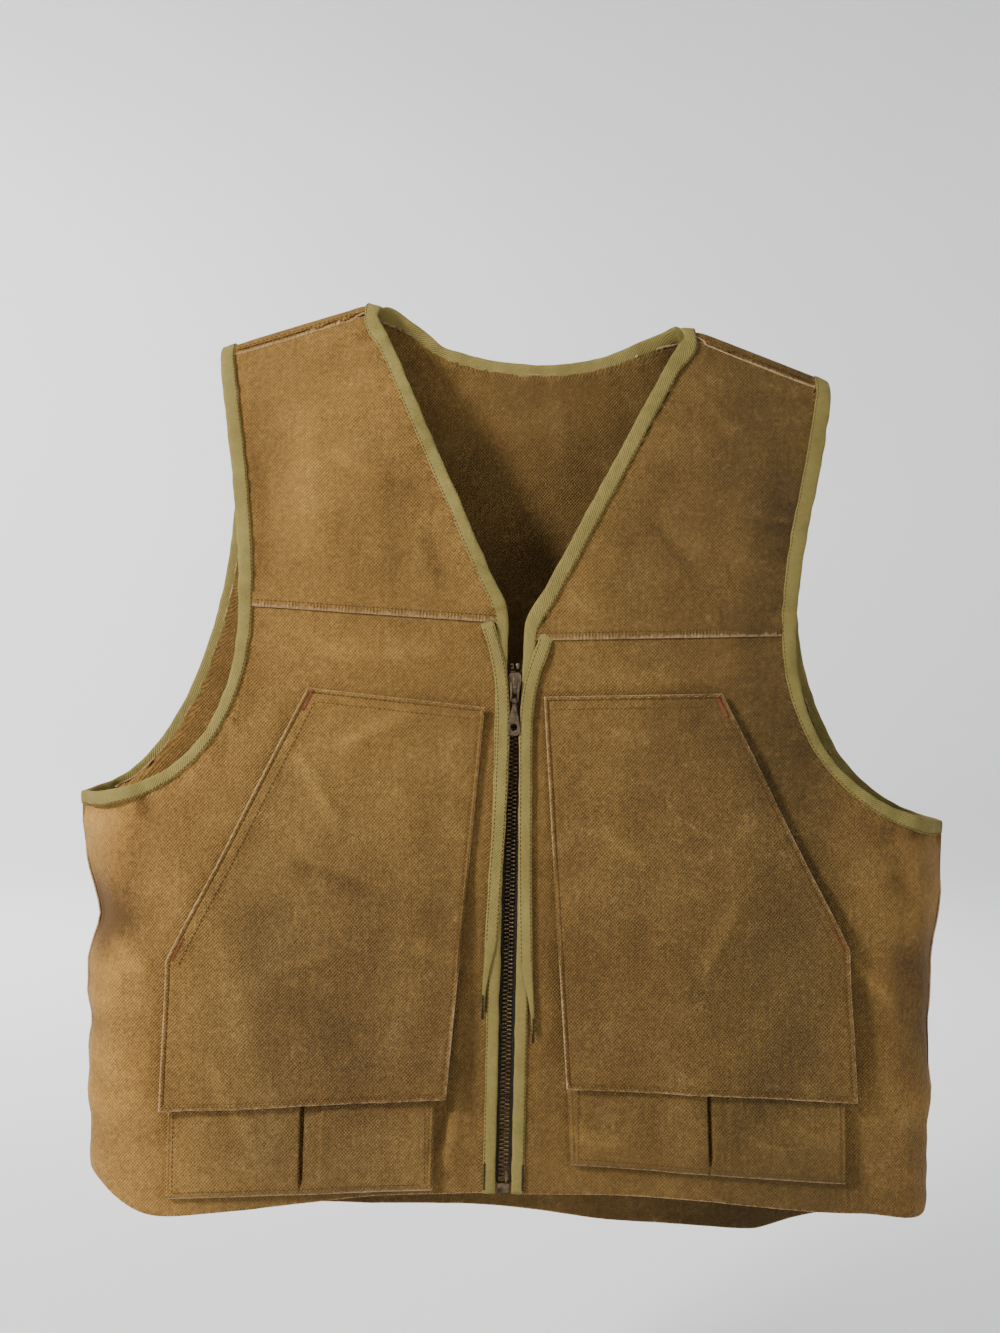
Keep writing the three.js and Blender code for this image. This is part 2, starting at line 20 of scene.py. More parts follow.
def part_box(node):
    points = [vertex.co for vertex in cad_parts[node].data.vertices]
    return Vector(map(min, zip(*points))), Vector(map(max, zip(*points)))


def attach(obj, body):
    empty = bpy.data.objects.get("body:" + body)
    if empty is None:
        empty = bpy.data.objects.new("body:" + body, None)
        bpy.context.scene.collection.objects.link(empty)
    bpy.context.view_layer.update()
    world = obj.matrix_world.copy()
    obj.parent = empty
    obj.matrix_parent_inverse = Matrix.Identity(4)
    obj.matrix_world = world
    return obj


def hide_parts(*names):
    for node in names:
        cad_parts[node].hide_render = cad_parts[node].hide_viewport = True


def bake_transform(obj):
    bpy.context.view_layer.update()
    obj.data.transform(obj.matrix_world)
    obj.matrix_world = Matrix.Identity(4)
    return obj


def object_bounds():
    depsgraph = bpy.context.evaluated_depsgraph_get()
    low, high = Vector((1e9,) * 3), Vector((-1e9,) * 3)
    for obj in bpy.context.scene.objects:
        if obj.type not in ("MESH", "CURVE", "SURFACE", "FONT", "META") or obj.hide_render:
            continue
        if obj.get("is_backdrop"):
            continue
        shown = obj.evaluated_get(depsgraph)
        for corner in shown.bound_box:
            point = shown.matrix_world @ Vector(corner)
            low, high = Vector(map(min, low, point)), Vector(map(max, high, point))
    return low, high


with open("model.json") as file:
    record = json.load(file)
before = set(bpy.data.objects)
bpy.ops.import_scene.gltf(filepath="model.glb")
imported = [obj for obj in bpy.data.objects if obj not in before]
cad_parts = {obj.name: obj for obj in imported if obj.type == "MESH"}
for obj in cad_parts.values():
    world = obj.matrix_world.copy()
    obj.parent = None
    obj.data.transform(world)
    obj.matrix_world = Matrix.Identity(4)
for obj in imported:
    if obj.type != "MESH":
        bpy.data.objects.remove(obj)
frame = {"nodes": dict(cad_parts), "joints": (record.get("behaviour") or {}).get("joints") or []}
cad_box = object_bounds()
MM = 0.001
FRONT = Vector((0, -1, 0))
SIDES = {"right": -1, "left": 1}
ROUGH = 0  # one level of refinement less while trying things
SIDE_START = 250 * MM  # from here outwards the cloth bends round the side folds
SIDE_RADIUS = 40 * MM
CLOTH = 1.2 * MM  # thickness of the panels' canvas
FULL_FOLD = 9 * MM  # a fold this high counts as 1 in the materials
print("CAD box:", [tuple(round(c, 3) for c in corner) for corner in cad_box])

# %% [markdown]
# ## The outer side of a CAD piece
# A CAD cloth piece is a closed slab of loose triangles. Cloth is easier to rumple as one layer, so
# the triangles are joined and only the outer side is kept. A face that has the slab's other side
# close behind it votes on whether its corners lie outside; faces with an inner corner are dropped.

# %% Take the outer layer
def outwards(p):
    """Roughly the way out of the body at p: forwards, backwards, sideways or up."""
    aside = math.copysign(max(0, abs(p.x) - SIDE_START) / SIDE_RADIUS, p.x)
    upwards = 0.35 if abs(p.y) < 20 * MM and abs(p.x) < SIDE_START else 0
    return Vector((aside, p.y / (34 * MM), upwards))


def outer_layer(node, wall=3 * MM):
    """The outer side of a CAD slab, whose other side lies no more than wall behind it."""
    bm = bmesh.new()
    bm.from_mesh(frame["nodes"][node].data)
    bmesh.ops.remove_doubles(bm, verts=bm.verts, dist=0.01 * MM)
    bm.normal_update()
    tree = BVHTree.FromBMesh(bm)
    votes = {v: 0 for v in bm.verts}
    for face in bm.faces:
        middle = face.calc_center_median()
        hit, normal, _, _ = tree.ray_cast(middle - face.normal * 0.01 * MM, -face.normal, wall)
        if hit is not None and normal.dot(face.normal) < -0.3:
            for v in face.verts:
                votes[v] += face.normal.dot(outwards(middle).normalized()) * face.calc_area()
    inner = [face for face in bm.faces if any(votes[v] <= 0 for v in face.verts)]
    bmesh.ops.delete(bm, geom=inner, context="FACES")
    bmesh.ops.join_triangles(bm, faces=bm.faces, angle_face_threshold=0.7, angle_shape_threshold=1.2)
    return bm


def point_tree(points):
    tree = KDTree(len(points))
    for i, p in enumerate(points):
        tree.insert(p, i)
    tree.balance()
    return tree


def add_object(name, data):
    obj = bpy.data.objects.new(name, data)
    bpy.context.collection.objects.link(obj)
    return obj


def smooth_step(low, high, value):
    t = np.clip((np.asarray(value, float) - low) / (high - low), 0, 1)
    return t * t * (3 - 2 * t)


def ordered_rim(bm):
    edge = next(e for e in bm.edges if e.is_boundary)
    rim = list(edge.verts)
    while True:
        edge = next(e for e in rim[-1].link_edges if e.is_boundary and e != edge)
        following = edge.other_vert(rim[-1])
        if following == rim[0]:
            return rim
        rim.append(following)


# %% [markdown]
# ## Lines to sew and bind along
# A binding in the CAD is a strip with two long edges. Its rim is read as pairs of matching points:
# of all ways to pair them, the one whose widths differ least. A smooth line through the pairs gives
# stations every few millimetres, each with the directions across the tape and out of the cloth.

# %% Read a strip as stations
def strip_rows(node):
    """Matching points of a tape's two long edges: the pairing whose widths differ least."""
    bm = outer_layer(node)
    bm.normal_update()
    rim = ordered_rim(bm)
    n, half = len(rim), len(rim) // 2
    points = [v.co.copy() for v in rim]
    normals = [v.normal.copy() for v in rim]

    def pairs(a):
        return [((a + 1 + k) % n, (a - k) % n) for k in range(half)]

    def unevenness(a):
        return float(np.std([(points[i] - points[j]).length for i, j in pairs(a)]))

    best = min(range(half), key=lambda a: (round(unevenness(a), 6), (points[a] - points[a + 1]).length))
    bm.free()
    return [(points[i], points[j], (normals[i] + normals[j]).normalized()) for i, j in pairs(best)]


def spline(values, at, wanted):
    """A smooth line through values known at distances at, read at the wanted distances."""
    values, at = np.asarray(values, float), np.asarray(at, float)
    step = np.diff(at)
    slope = np.diff(values, axis=0) / step[:, None]
    between = (slope[1:] * step[:-1, None] + slope[:-1] * step[1:, None]) / (step[1:] + step[:-1])[:, None]
    tangent = np.vstack([slope[:1], between, slope[-1:]])
    k = np.clip(np.searchsorted(at, wanted, side="right") - 1, 0, len(at) - 2)
    t = ((wanted - at[k]) / step[k])[:, None]
    h = step[k][:, None]
    return (values[k] * (1 + 2 * t) * (1 - t) ** 2 + values[k + 1] * t * t * (3 - 2 * t)
            + tangent[k] * h * t * (1 - t) ** 2 + tangent[k + 1] * h * t * t * (t - 1))


def stations(rows, step=2.5 * MM):
    """Rows of (inner, outer, out) as evenly spaced (place, across, out, distance, half width)."""
    inner, outer, out = (np.array([tuple(r[k]) for r in rows]) for k in range(3))
    middle = (inner + outer) / 2
    at = np.concatenate([[0], np.cumsum(np.linalg.norm(np.diff(middle, axis=0), axis=1))])
    wanted = np.linspace(0, at[-1], max(int(at[-1] / step), 2) + 1)
    middle, reach, out = (spline(v, at, wanted) for v in (middle, outer - inner, out))
    along = np.gradient(middle, axis=0)
    found = []
    for m, r, n, t, s in zip(middle, reach, out, along, wanted):
        t = Vector(t).normalized()
        n = Vector(n)
        n = (n - n.dot(t) * t).normalized()
        across = n.cross(t)
        across = across if across.dot(Vector(r)) > 0 else -across
        found.append((Vector(m), across, n, s, abs(across.dot(Vector(r))) / 2))
    return found


# %% [markdown]
# ## How the cloth hangs
# Old waxed canvas is stiff: it keeps broad soft hollows, shallow creases run from where it is
# held, and short puckers stand along every bound or stitched edge. All of it is one function of
# the place on the body, so that a pocket, its panel and the tape on its edge rumple together.

# %% Lay down the creases
CREASES = {  # from x, z to x, z; half width and height in millimetres
    "front": [
        (-150, -60, -120, -190, 14, 3.0), (-165, -90, -175, -190, 9, -2.5), (-95, -70, -75, -180, 12, -2.0),
        (-185, -230, -225, -330, 12, 3.0), (-235, -330, -262, -440, 12, -3.5),
        (-250, -380, -270, -520, 10, 3.0),
        (-20, -452, -62, -420, 5, 2.2), (-45, -236, -130, -226, 8, 1.6), (-200, -420, -150, -540, 14, 2.2),
        (-75, -330, -60, -480, 13, 2.4), (-215, -470, -235, -560, 10, -2.0),
        (165, -80, 150, -200, 14, 3.0), (188, -120, 180, -220, 9, -2.5), (110, -110, 75, -190, 12, -2.0),
        (200, -260, 245, -350, 12, 3.0), (250, -340, 262, -470, 12, -3.0), (245, -420, 240, -560, 11, 2.6),
        (95, -330, 110, -480, 15, 2.4), (190, -470, 150, -560, 12, -2.0), (60, -250, 150, -246, 8, 1.4),
        (-22, -430, -48, -570, 5, 2.6), (-32, -500, -60, -560, 4, -2.1), (-60, -270, -110, -300, 5, 2.1),
        (-150, -300, -120, -345, 5, 2.4), (-95, -395, -140, -370, 5, -2.2), (-160, -440, -120, -425, 4, 1.9),
        (-190, -500, -170, -560, 5, 2.2), (-225, -250, -205, -300, 5, 2.4), (-255, -300, -238, -345, 5, -2.6),
        (-270, -420, -245, -450, 6, 2.9), (-120, -95, -90, -120, 5, 1.6), (-60, -150, -40, -190, 5, -1.6),
        (60, -350, 95, -370, 5, 1.9), (150, -400, 120, -440, 5, 2.1), (210, -300, 240, -325, 5, 2.4),
        (225, -430, 250, -470, 6, 2.6), (170, -540, 205, -560, 5, 2.1), (120, -60, 150, -90, 5, 1.8),
        (255, -380, 272, -400, 5, -2.6), (30, -540, 75, -556, 5, 1.9), (90, -150, 120, -175, 5, -1.6),
    ],
    "back": [
        (-90, -90, -70, -330, 20, 4.0), (80, -120, 95, -380, 22, 4.0), (-180, -250, -120, -480, 18, -4.0),
        (190, -280, 130, -520, 18, -4.0), (0, -200, 10, -560, 24, 3.0), (-225, -360, -240, -560, 14, 3.0),
        (230, -380, 236, -570, 14, 3.0), (-40, -60, 30, -66, 9, 1.5),
    ],
}


def crease_height(x, z, creases):
    height = 0
    for ax, az, bx, bz, width, rise in creases:
        dx, dz = bx - ax, bz - az
        long = math.hypot(dx, dz)
        along = ((x - ax) * dx + (z - az) * dz) / long
        off = ((x - ax) * dz - (z - az) * dx) / long + 5 * math.sin(along / 27 + ax)
        ends = max(0, 1 - max(0, abs(along - long / 2) - long * 0.3) / (long * 0.35))
        softer = 0.6 if width > 8 else 1.0
        height += rise * softer * math.exp(-(off / width) ** 2) * ends * ends * (3 - 2 * ends)
    return height


def soft_noise(x, y, z, wave):
    return noise.noise(Vector((x / wave, y, z / wave)))


def drape(p):
    """How far the cloth at p stands out from the CAD's smooth shape, in metres."""
    x, z = p[0] / MM, p[2] / MM
    side = "front" if p[1] < 0 else "back"
    seed = 3.7 if side == "front" else 11.3
    height = crease_height(x, z, CREASES[side])
    height += 2.6 * soft_noise(x, seed, z * 0.6, 120) + 1.5 * soft_noise(x, seed + 4, z * 0.8, 42)
    height += 0.5 * soft_noise(x, seed + 9, z, 15)
    calm = smooth_step(0, 26, abs(p[1]) / MM)
    if side == "front" and z < -205:
        calm *= smooth_step(12, 48, abs(x + 3))
    edge = smooth_step(215, 285, abs(x))
    wobble = 3.2 * noise.noise(Vector((math.copysign(7, x), z / 46, 0)))
    wobble += 1.4 * noise.noise(Vector((math.copysign(9, x), z / 17, 0)))
    dent = -9 * math.exp(-((z + 412) / 24) ** 2) if x < 0 else -4 * math.exp(-((z + 480) / 40) ** 2)
    return (height * calm * (1 - 0.4 * edge) + (wobble + dent) * edge) * MM


# %% Pucker the cloth beside its bound edges
bound_nodes = ["neck_binding", "right_armhole_binding", "left_armhole_binding"]
rows = {node: strip_rows(node) for node in bound_nodes}


def front_rows(side):
    """The front edge's tape, from its top to the hem, with the zip's side first."""
    found = strip_rows(f"{side}_front_binding")
    pairs = [(a, b, out) if abs(a.x) < abs(b.x) else (b, a, out) for a, b, out in found]
    top, foot = sorted(pairs, key=lambda row: -row[0].z)
    return [top, tuple(t.lerp(f, 0.5) for t, f in zip(top, foot)), foot]


if rows["neck_binding"][0][0].x < 0:
    rows["neck_binding"].reverse()
if abs(rows["neck_binding"][0][0].x) > abs(rows["neck_binding"][0][1].x):
    rows["neck_binding"] = [(b, a, out) for a, b, out in rows["neck_binding"]]
rows["neck_binding"] = front_rows("left")[::-1] + rows["neck_binding"] + front_rows("right")
bound = {node: stations(pairs) for node, pairs in rows.items()}
edge_stations = [station for line in bound.values() for station in line]
edge_tree = point_tree([station[0] for station in edge_stations])
for node, line in bound.items():
    print(f"{node}: {line[-1][3] * 1000:.0f} mm of tape in {len(line)} stations")


def pucker(p):
    _, index, far = edge_tree.find(p)
    if far > 70 * MM:
        return 0
    s = edge_stations[index][3] / MM
    wave = math.sin(s / 2.9 + 3 * noise.noise(Vector((s / 30, 1, 0))))
    wave *= 0.5 + 0.9 * noise.noise(Vector((s / 22, 7, 0)))
    calm = smooth_step(12, 40, abs(p[0] / MM + 3)) if p[1] < 0 and p[2] < -200 * MM else 1
    return 1.1 * math.exp(-far / (15 * MM)) * wave * calm * MM


# %% [markdown]
# ## Shader maths written as sums
# A pattern such as a weave is a formula. A small class wraps a node's socket, so that the formula
# can be written with ordinary operators and each one adds its own Math node.

# %% Wrap a socket
class Wire:
    def __init__(self, tree, socket):
        self.tree, self.socket = tree, socket

    def math(self, operation, *others, swap=False):
        node = self.tree.nodes.new("ShaderNodeMath")
        node.operation = operation
        values = [self, *others]
        for slot, value in zip(node.inputs, reversed(values) if swap else values):
            feed(self.tree, slot, value)
        return Wire(self.tree, node.outputs[0])

    def __add__(self, other): return self.math("ADD", other)
    def __sub__(self, other): return self.math("SUBTRACT", other)
    def __rsub__(self, other): return self.math("SUBTRACT", other, swap=True)
    def __mul__(self, other): return self.math("MULTIPLY", other)
    def __truediv__(self, other): return self.math("DIVIDE", other)
    def __pow__(self, other): return self.math("POWER", other)
    __radd__, __rmul__ = __add__, __mul__

    def wave(self): return self.math("SINE") * 0.5 + 0.5

    def clip(self, low=0.0, high=1.0):
        return ((self - low) / (high - low)).math("MAXIMUM", 0.0).math("MINIMUM", 1.0)


def feed(tree, slot, value):
    if isinstance(value, Wire):
        tree.links.new(value.socket, slot)
    else:
        slot.default_value = value


class Finish:
    """A material being mixed: one shader, and the nodes that lead to it."""

    def __init__(self, name, **constants):
        self.material = bpy.data.materials.new(name)
        self.material.use_nodes = True
        self.tree = self.material.node_tree
        self.shader = self.tree.nodes["Principled BSDF"]
        for slot, value in constants.items():
            self.shader.inputs[slot.replace("_", " ")].default_value = value
        self.where = self.node("ShaderNodeTexCoord", output=3)

    def node(self, kind, settings=None, output=0, **values):
        node = self.tree.nodes.new(kind)
        for key, value in (settings or {}).items():
            if key == "stops":
                ramp = node.color_ramp.elements
                while len(ramp) < len(value):
                    ramp.new(0.5)
                for stop, (position, colour) in zip(ramp, value):
                    stop.position, stop.color = position, (*colour, 1)
            else:
                setattr(node, key, value)
        for key, value in values.items():
            slot = node.inputs[int(key[1:])] if key[1:].isdigit() else node.inputs[key.replace("_", " ")]
            feed(self.tree, slot, value)
        return Wire(self.tree, node.outputs[output])

    def axis(self, vector, k):
        return self.node("ShaderNodeSeparateXYZ", output=k, i0=vector)

    def kept(self, name):
        """A value that the mesh keeps for each of its points."""
        return self.node("ShaderNodeAttribute", {"attribute_name": name}, 2)

    def ramp(self, tone, *stops):
        return self.node("ShaderNodeValToRGB", {"stops": stops}, Fac=tone)

    def noise(self, where, scale, detail=3.0, rough=0.55):
        return self.node("ShaderNodeTexNoise", Vector=where, Scale=scale, Detail=detail, Roughness=rough)

    def mix(self, share, a, b, blend="MIX"):
        settings = {"data_type": "RGBA", "blend_type": blend}
        return self.node("ShaderNodeMix", settings, 2, i0=share, i6=a, i7=b)

    def colour(self, wire, **others):
        feed(self.tree, self.shader.inputs["Base Color"], wire)
        for slot, value in others.items():
            feed(self.tree, self.shader.inputs[slot], value)

    def bump(self, height, distance, strength=1.0):
        normal = self.node("ShaderNodeBump", Height=height, Distance=distance, Strength=strength)
        feed(self.tree, self.shader.inputs["Normal"], normal)


def rgb(r, g, b):
    return (r, g, b, 1)


# %% [markdown]
# ## Waxed canvas
# Wax darkens cotton duck and handling takes it off again: the cloth is a mottle of dark and pale
# browns, cloudy at the size of a hand and blotched at the size of a coin, with fine pale threads
# where creases and edges rub through. The weave follows each piece's own map, whose units are
# metres, and the rubbing follows two values kept on the mesh: wear at edges and height of folds.
# The height of folds also darkens the hollows as painted shade. Painted light brightens the
# vest's right side, towards the window lamp, painted shade darkens its left side and turns it
# more olive, and the colour is darker over the belly.

# %% Mix the canvas
def waxed_canvas(name, shade=1.0):
    finish = Finish(name, Metallic=0.0, Specular_IOR_Level=0.22)
    where = finish.where
    x, z = finish.axis(where, 0), finish.axis(where, 2)
    weave = finish.node("ShaderNodeUVMap", {"uv_map": "weave"})
    u, v = finish.axis(weave, 0), finish.axis(weave, 1)
    wear, fold = finish.kept("wear"), finish.kept("fold")
    clouds = finish.noise(where, 9.0, 4.0, 0.6)
    blotch = finish.noise(where, 34.0, 5.0, 0.65)
    fleck = finish.noise(where, 380.0, 4.0, 0.7)
    grit = finish.noise(where, 800.0, 2.0, 0.6)
    drawn_out = finish.node("ShaderNodeMapping", Vector=weave, Scale=(1.0, 0.04, 1.0))
    slub = finish.noise(drawn_out, 620.0, 3.0, 0.6)
    warp, weft = ((along * (2 * math.pi / pitch) + grit * 3.4).math("SINE")
                  for along, pitch in ((u, 2.2 * MM), (v, 2.4 * MM)))
    threads = warp * weft * 0.5 + 0.5
    rub_line = 1 - ((finish.noise(where, 26.0, 3.0, 0.5) - 0.5) * 26).math("ABSOLUTE").clip()
    crinkle = rub_line * ((blotch - 0.45) * 5).clip() * (fleck * 2 - 0.4).clip()
    # fold pales the ridges, as rubbing does, and darkens the hollows as painted shade
    tone = clouds * 0.30 + blotch * 0.26 + fleck * 0.80 + slub * 0.22 + fold * 0.60
    tone = tone + (threads - 0.5) * 0.27 - 0.35
    browns = ((0.0, (0.060, 0.031, 0.0080)), (0.34, (0.145, 0.077, 0.0180)),
              (0.62, (0.245, 0.134, 0.0310)), (1.0, (0.450, 0.265, 0.0820)))
    base = finish.ramp(tone, *((at, [c * shade for c in brown]) for at, brown in browns))
    # painted light: brighter towards -X, the vest's right side, nearest the window lamp
    painted_light = finish.mix(((x * -1 - 0.17) * 11).clip() * 0.8, base, rgb(1.70, 1.66, 1.70), "MULTIPLY")
    # painted shade: darker and more olive towards +X, the vest's left side, away from the window lamp, easing
    # off again at the far side
    shady = (x * 3.6 + 0.42).clip() - ((x - 0.20) * 12).clip() * 0.80
    painted_shade = finish.mix(shady, painted_light, rgb(0.46, 0.49, 0.54), "MULTIPLY")
    # darker over the belly, with cloudy edges
    belly = ((((x + 0.13) * 7.5) ** 2.0 + ((z + 0.51) * 4.8) ** 2.0) * -1).math("EXPONENT")
    belly_darkening = (belly * 1.2 + (clouds - 0.5) * 0.9).clip(0.1, 1.3) * 0.9
    darker_belly = finish.mix(belly_darkening, painted_shade, rgb(0.47, 0.50, 0.60), "MULTIPLY")
    ground = finish.mix(threads * 0.48 + 0.03, darker_belly, rgb(1.55, 1.52, 1.45), "MULTIPLY")
    speck = ((fleck - 0.60) * 6).clip() * ((blotch - 0.35) * 3).clip()
    rubbed = finish.mix(speck * 0.16 + crinkle * 0.17, ground, rgb(0.45, 0.28, 0.10))
    edge = (wear * 1.4 + (fleck - 0.5) * 2.0 + (blotch - 0.5) * 1.2).clip(0.55, 1.5)
    worn = finish.mix(edge * 0.82, rubbed, rgb(0.45, 0.295, 0.155))
    finish.colour(worn, Roughness=0.90 - blotch * 0.22)
    finish.bump(threads * 0.55 + grit * 0.3 + fleck * 0.55 + blotch * 0.9 + crinkle * 0.4, 0.0011, 0.9)
    return finish.material


canvas = waxed_canvas("waxed_canvas")
# the same canvas darkened for the panels' inner faces: painted shade
shaded_canvas_inside = waxed_canvas("shaded_canvas_inside", 0.73)


# %% [markdown]
# ## Olive twill tape
# The binding is cotton twill: threads run in a fine slant, so it takes light in small diagonal
# ribs. Its folded edges have rubbed pale, and painted shade darkens it towards the vest's left
# side, away from the window lamp.

# %% Mix the tape and the threads
def twill(name, dark, light):
    finish = Finish(name, Metallic=0.0, Specular_IOR_Level=0.25)
    where = finish.where
    weave = finish.node("ShaderNodeUVMap", {"uv_map": "weave"})
    wear = finish.kept("wear")
    cloud = finish.noise(where, 26.0, 5.0, 0.65)
    fleck = finish.noise(where, 420.0, 4.0, 0.7)
    slanting = finish.axis(weave, 0) + finish.axis(weave, 1)
    rib = (slanting * (2 * math.pi / (1.9 * MM)) + fleck * 1.6).wave()
    tone = cloud * 0.9 + fleck * 0.55 + rib * 0.22 - 0.38
    base = finish.ramp(tone, (0.0, dark), (1.0, light))
    # painted shade: darker towards +X, the vest's left side, away from the window lamp
    shady = (finish.axis(where, 0) * 3.4 + 0.35).clip() * 0.75
    shaded = finish.mix(shady, base, rgb(0.66, 0.68, 0.66), "MULTIPLY")
    pale = finish.mix((wear + (fleck - 0.5) * 1.5).clip(0.45, 1.3) * 0.30, shaded, rgb(0.46, 0.37, 0.15))
    finish.colour(pale, Roughness=0.92 - fleck * 0.1)
    finish.bump(rib * 0.7 + fleck * 0.6, 0.0008, 0.7)
    return finish.material


def thread(name, dark, light):
    finish = Finish(name, Metallic=0.0, Specular_IOR_Level=0.2)
    where = finish.where
    tone = finish.noise(where, 260.0, 4.0, 0.7) * 1.3 - 0.15
    finish.colour(finish.ramp(tone, (0.0, dark), (1.0, light)), Roughness=0.9 - tone * 0.1)
    finish.bump(finish.noise(where, 1800.0, 2.0), 0.0004, 0.5)
    return finish.material


olive_twill = twill("olive_twill", (0.130, 0.098, 0.022), (0.37, 0.295, 0.092))
zip_tape = twill("zip_tape_cloth", (0.010, 0.008, 0.005), (0.030, 0.022, 0.014))
brown_thread = thread("brown_thread", (0.045, 0.022, 0.007), (0.125, 0.062, 0.020))
tan_thread = thread("tan_thread", (0.20, 0.12, 0.05), (0.42, 0.29, 0.15))
red_thread = thread("red_brown_thread", (0.10, 0.028, 0.012), (0.24, 0.085, 0.038))
black_thread = thread("black_thread", (0.006, 0.005, 0.004), (0.022, 0.018, 0.014))


# %% [markdown]
# ## Old brass
# The zip was brass with a dark finish. It stays dark in the hollows and shows warm metal where
# the slider and fingers rub it, so colour, metal and gloss all follow the same patches.

# %% Mix the metal
def old_brass(name):
    finish = Finish(name)
    where = finish.where
    patch = finish.noise(where, 160.0, 5.0, 0.65)
    pit = finish.noise(where, 1100.0, 4.0, 0.7)
    rub = (patch * 1.2 + pit * 0.5).clip(0.62, 1.05)
    base = finish.mix(rub, rgb(0.020, 0.015, 0.010), rgb(0.21, 0.15, 0.085))
    finish.colour(base, Metallic=0.55 + rub * 0.45, Roughness=0.52 - rub * 0.2)
    finish.bump(pit, 0.0002, 0.5)
    return finish.material


old_metal = old_brass("old_brass")
print("finishes:", [m.name for m in bpy.data.materials if m.use_nodes])


# %% [markdown]
# ## Turning a layer into cloth
# The coarse layer from the CAD is refined with a subdivision surface, which keeps its corners.
# Each point then moves out along its own normal by the drape and the puckers. Wear is how close a
# point is to the cut edge, and a Solidify modifier gives the layer its thickness inwards.

# %% Make a panel
def mesh_object(name, bm, looks):
    mesh = bpy.data.meshes.new(name)
    bm.to_mesh(mesh)
    bm.free()
    for look in looks:
        mesh.materials.append(look)
    mesh.polygons.foreach_set("use_smooth", [True] * len(mesh.polygons))
    mesh.update()
    return add_object(name, mesh)


def finish_piece(name, bm, looks, body=None, nodes=()):
    obj = mesh_object(name, bm, looks)
    if nodes:
        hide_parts(*nodes)
    if body:
        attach(obj, body)
    print(f"{name}: {len(obj.data.polygons)} faces")
    return obj


def refine(bm, levels):
    mesh = bpy.data.meshes.new("rough")
    bm.to_mesh(mesh)
    obj = add_object("rough", mesh)
    subsurf = obj.modifiers.new("refine", "SUBSURF")
    subsurf.levels = subsurf.render_levels = levels
    subsurf.boundary_smooth = "PRESERVE_CORNERS"
    smooth = obj.evaluated_get(bpy.context.evaluated_depsgraph_get()).to_mesh()
    bm.clear()
    bm.from_mesh(smooth)
    bpy.data.objects.remove(obj)
    bpy.data.meshes.remove(mesh)


def map_weave(bm):
    """Flat weave coordinates in metres: distance round the body, and height."""
    flat, turn = 255 * MM, SIDE_RADIUS
    layer = bm.loops.layers.uv.new("weave")
    for face in bm.faces:
        for loop in face.loops:
            p = loop.vert.co
            over = min(max(abs(p.x) - flat, 0) / turn, 1)
            around = min(abs(p.x), flat) + turn * math.asin(over)
            loop[layer].uv = (math.copysign(around, p.x), p.z)


def edge_wear(bm, reach, band=True):
    """How near each point is to the rim; with band, in a narrow band of faces of its own."""
    if band:
        bmesh.ops.inset_region(bm, faces=bm.faces[:], thickness=reach,
                               use_boundary=True, use_even_offset=True)
    wear = bm.verts.layers.float.new("wear")
    rim = point_tree([v.co for v in bm.verts if v.is_boundary])
    for v in bm.verts:
        v[wear] = max(0, 1 - rim.find(v.co)[2] / reach)


def way_out(v):
    """The vertex normal, or at the side folds the normal of the fold, so that both panels agree."""
    over = min((abs(v.co.x) - SIDE_START) / SIDE_RADIUS, 1)
    if over <= 0:
        return v.normal
    fold = Vector((math.copysign(over, v.co.x), math.copysign(math.sqrt(1 - over * over), v.co.y), 0))
    return v.normal.lerp(fold, min(1, over * 3)).normalized()


def into_tape(p, moved, at_rim):
    """Beside a binding the cloth moves with the tape, and its edge goes in between the tape's sides."""
    place, index, far = edge_tree.find(p)
    if far > 18 * MM:
        return moved
    with_tape = p + edge_stations[index][2] * (drape(place) + pucker(place))
    moved = moved.lerp(with_tape, float(smooth_step(18 * MM, 6 * MM, far)))
    reach = 2.6 * MM * float(smooth_step(7.5 * MM, 5.2 * MM, far))
    under_arm = abs(p.x) > 262 * MM and far < 16 * MM
    if at_rim and under_arm:
        reach = max(reach, far - 2.3 * MM)
    return moved + (place - p).normalized() * reach


def rumple(bm):
    bm.normal_update()
    fold = bm.verts.layers.float.new("fold")
    moved = []
    for v in bm.verts:
        height = drape(v.co) + pucker(v.co)
        v[fold] = height / FULL_FOLD
        moved.append(into_tape(v.co, v.co + way_out(v) * height, v.is_boundary))
    for v, place in zip(bm.verts, moved):
        v.co = place


def lap_side(bm, way):
    """At the side folds two panels meet; way is 1 for the one whose edge is behind, -1 in front."""
    for v in bm.verts:
        if abs(v.co.x) > 270 * MM and abs(v.co.y) < 8 * MM:
            share = float(smooth_step(8 * MM, 1 * MM, abs(v.co.y)))
            v.co.y += way * 1.6 * MM * share
            v.co.x += math.copysign(0.55 * MM * way * share, v.co.x)


def face_outwards(bm, look):
    bm.normal_update()
    if sum((f.normal * f.calc_area() for f in bm.faces), Vector()).dot(look) < 0:
        bmesh.ops.reverse_faces(bm, faces=bm.faces)


def thicken(obj, thickness, inside=0):
    wall = obj.modifiers.new("thickness", "SOLIDIFY")
    wall.thickness, wall.offset, wall.material_offset = thickness, -1, inside
    wall.material_offset_rim = 0
    return obj


def lap(bm, start, end, over, lift):
    """Turns the edge that lies on the line from start to end over the cloth beside it."""
    line = (end - start).normalized()
    down = Vector((line.z, 0, -line.x))
    if down.z > 0:
        down = -down
    bm.normal_update()
    for v in bm.verts:
        far = -(v.co - start).dot(down)
        if -1 * MM < far < 9 * MM and (v.co - start).dot(line) > -3 * MM and v.co.y < 2 * MM:
            v.co += v.normal * lift * float(smooth_step(9 * MM, 5 * MM, far))
            if far < 0.6 * MM:
                v.co += down * over


# %% Find the seams' ends
def corner(node, dx, dz):
    """The corner of a flat front piece that reaches furthest in the direction dx, dz."""
    return max((Vector(v.co) for v in frame["nodes"][node].data.vertices),
               key=lambda p: dx * p.x + dz * p.z - 0.001 * p.y)


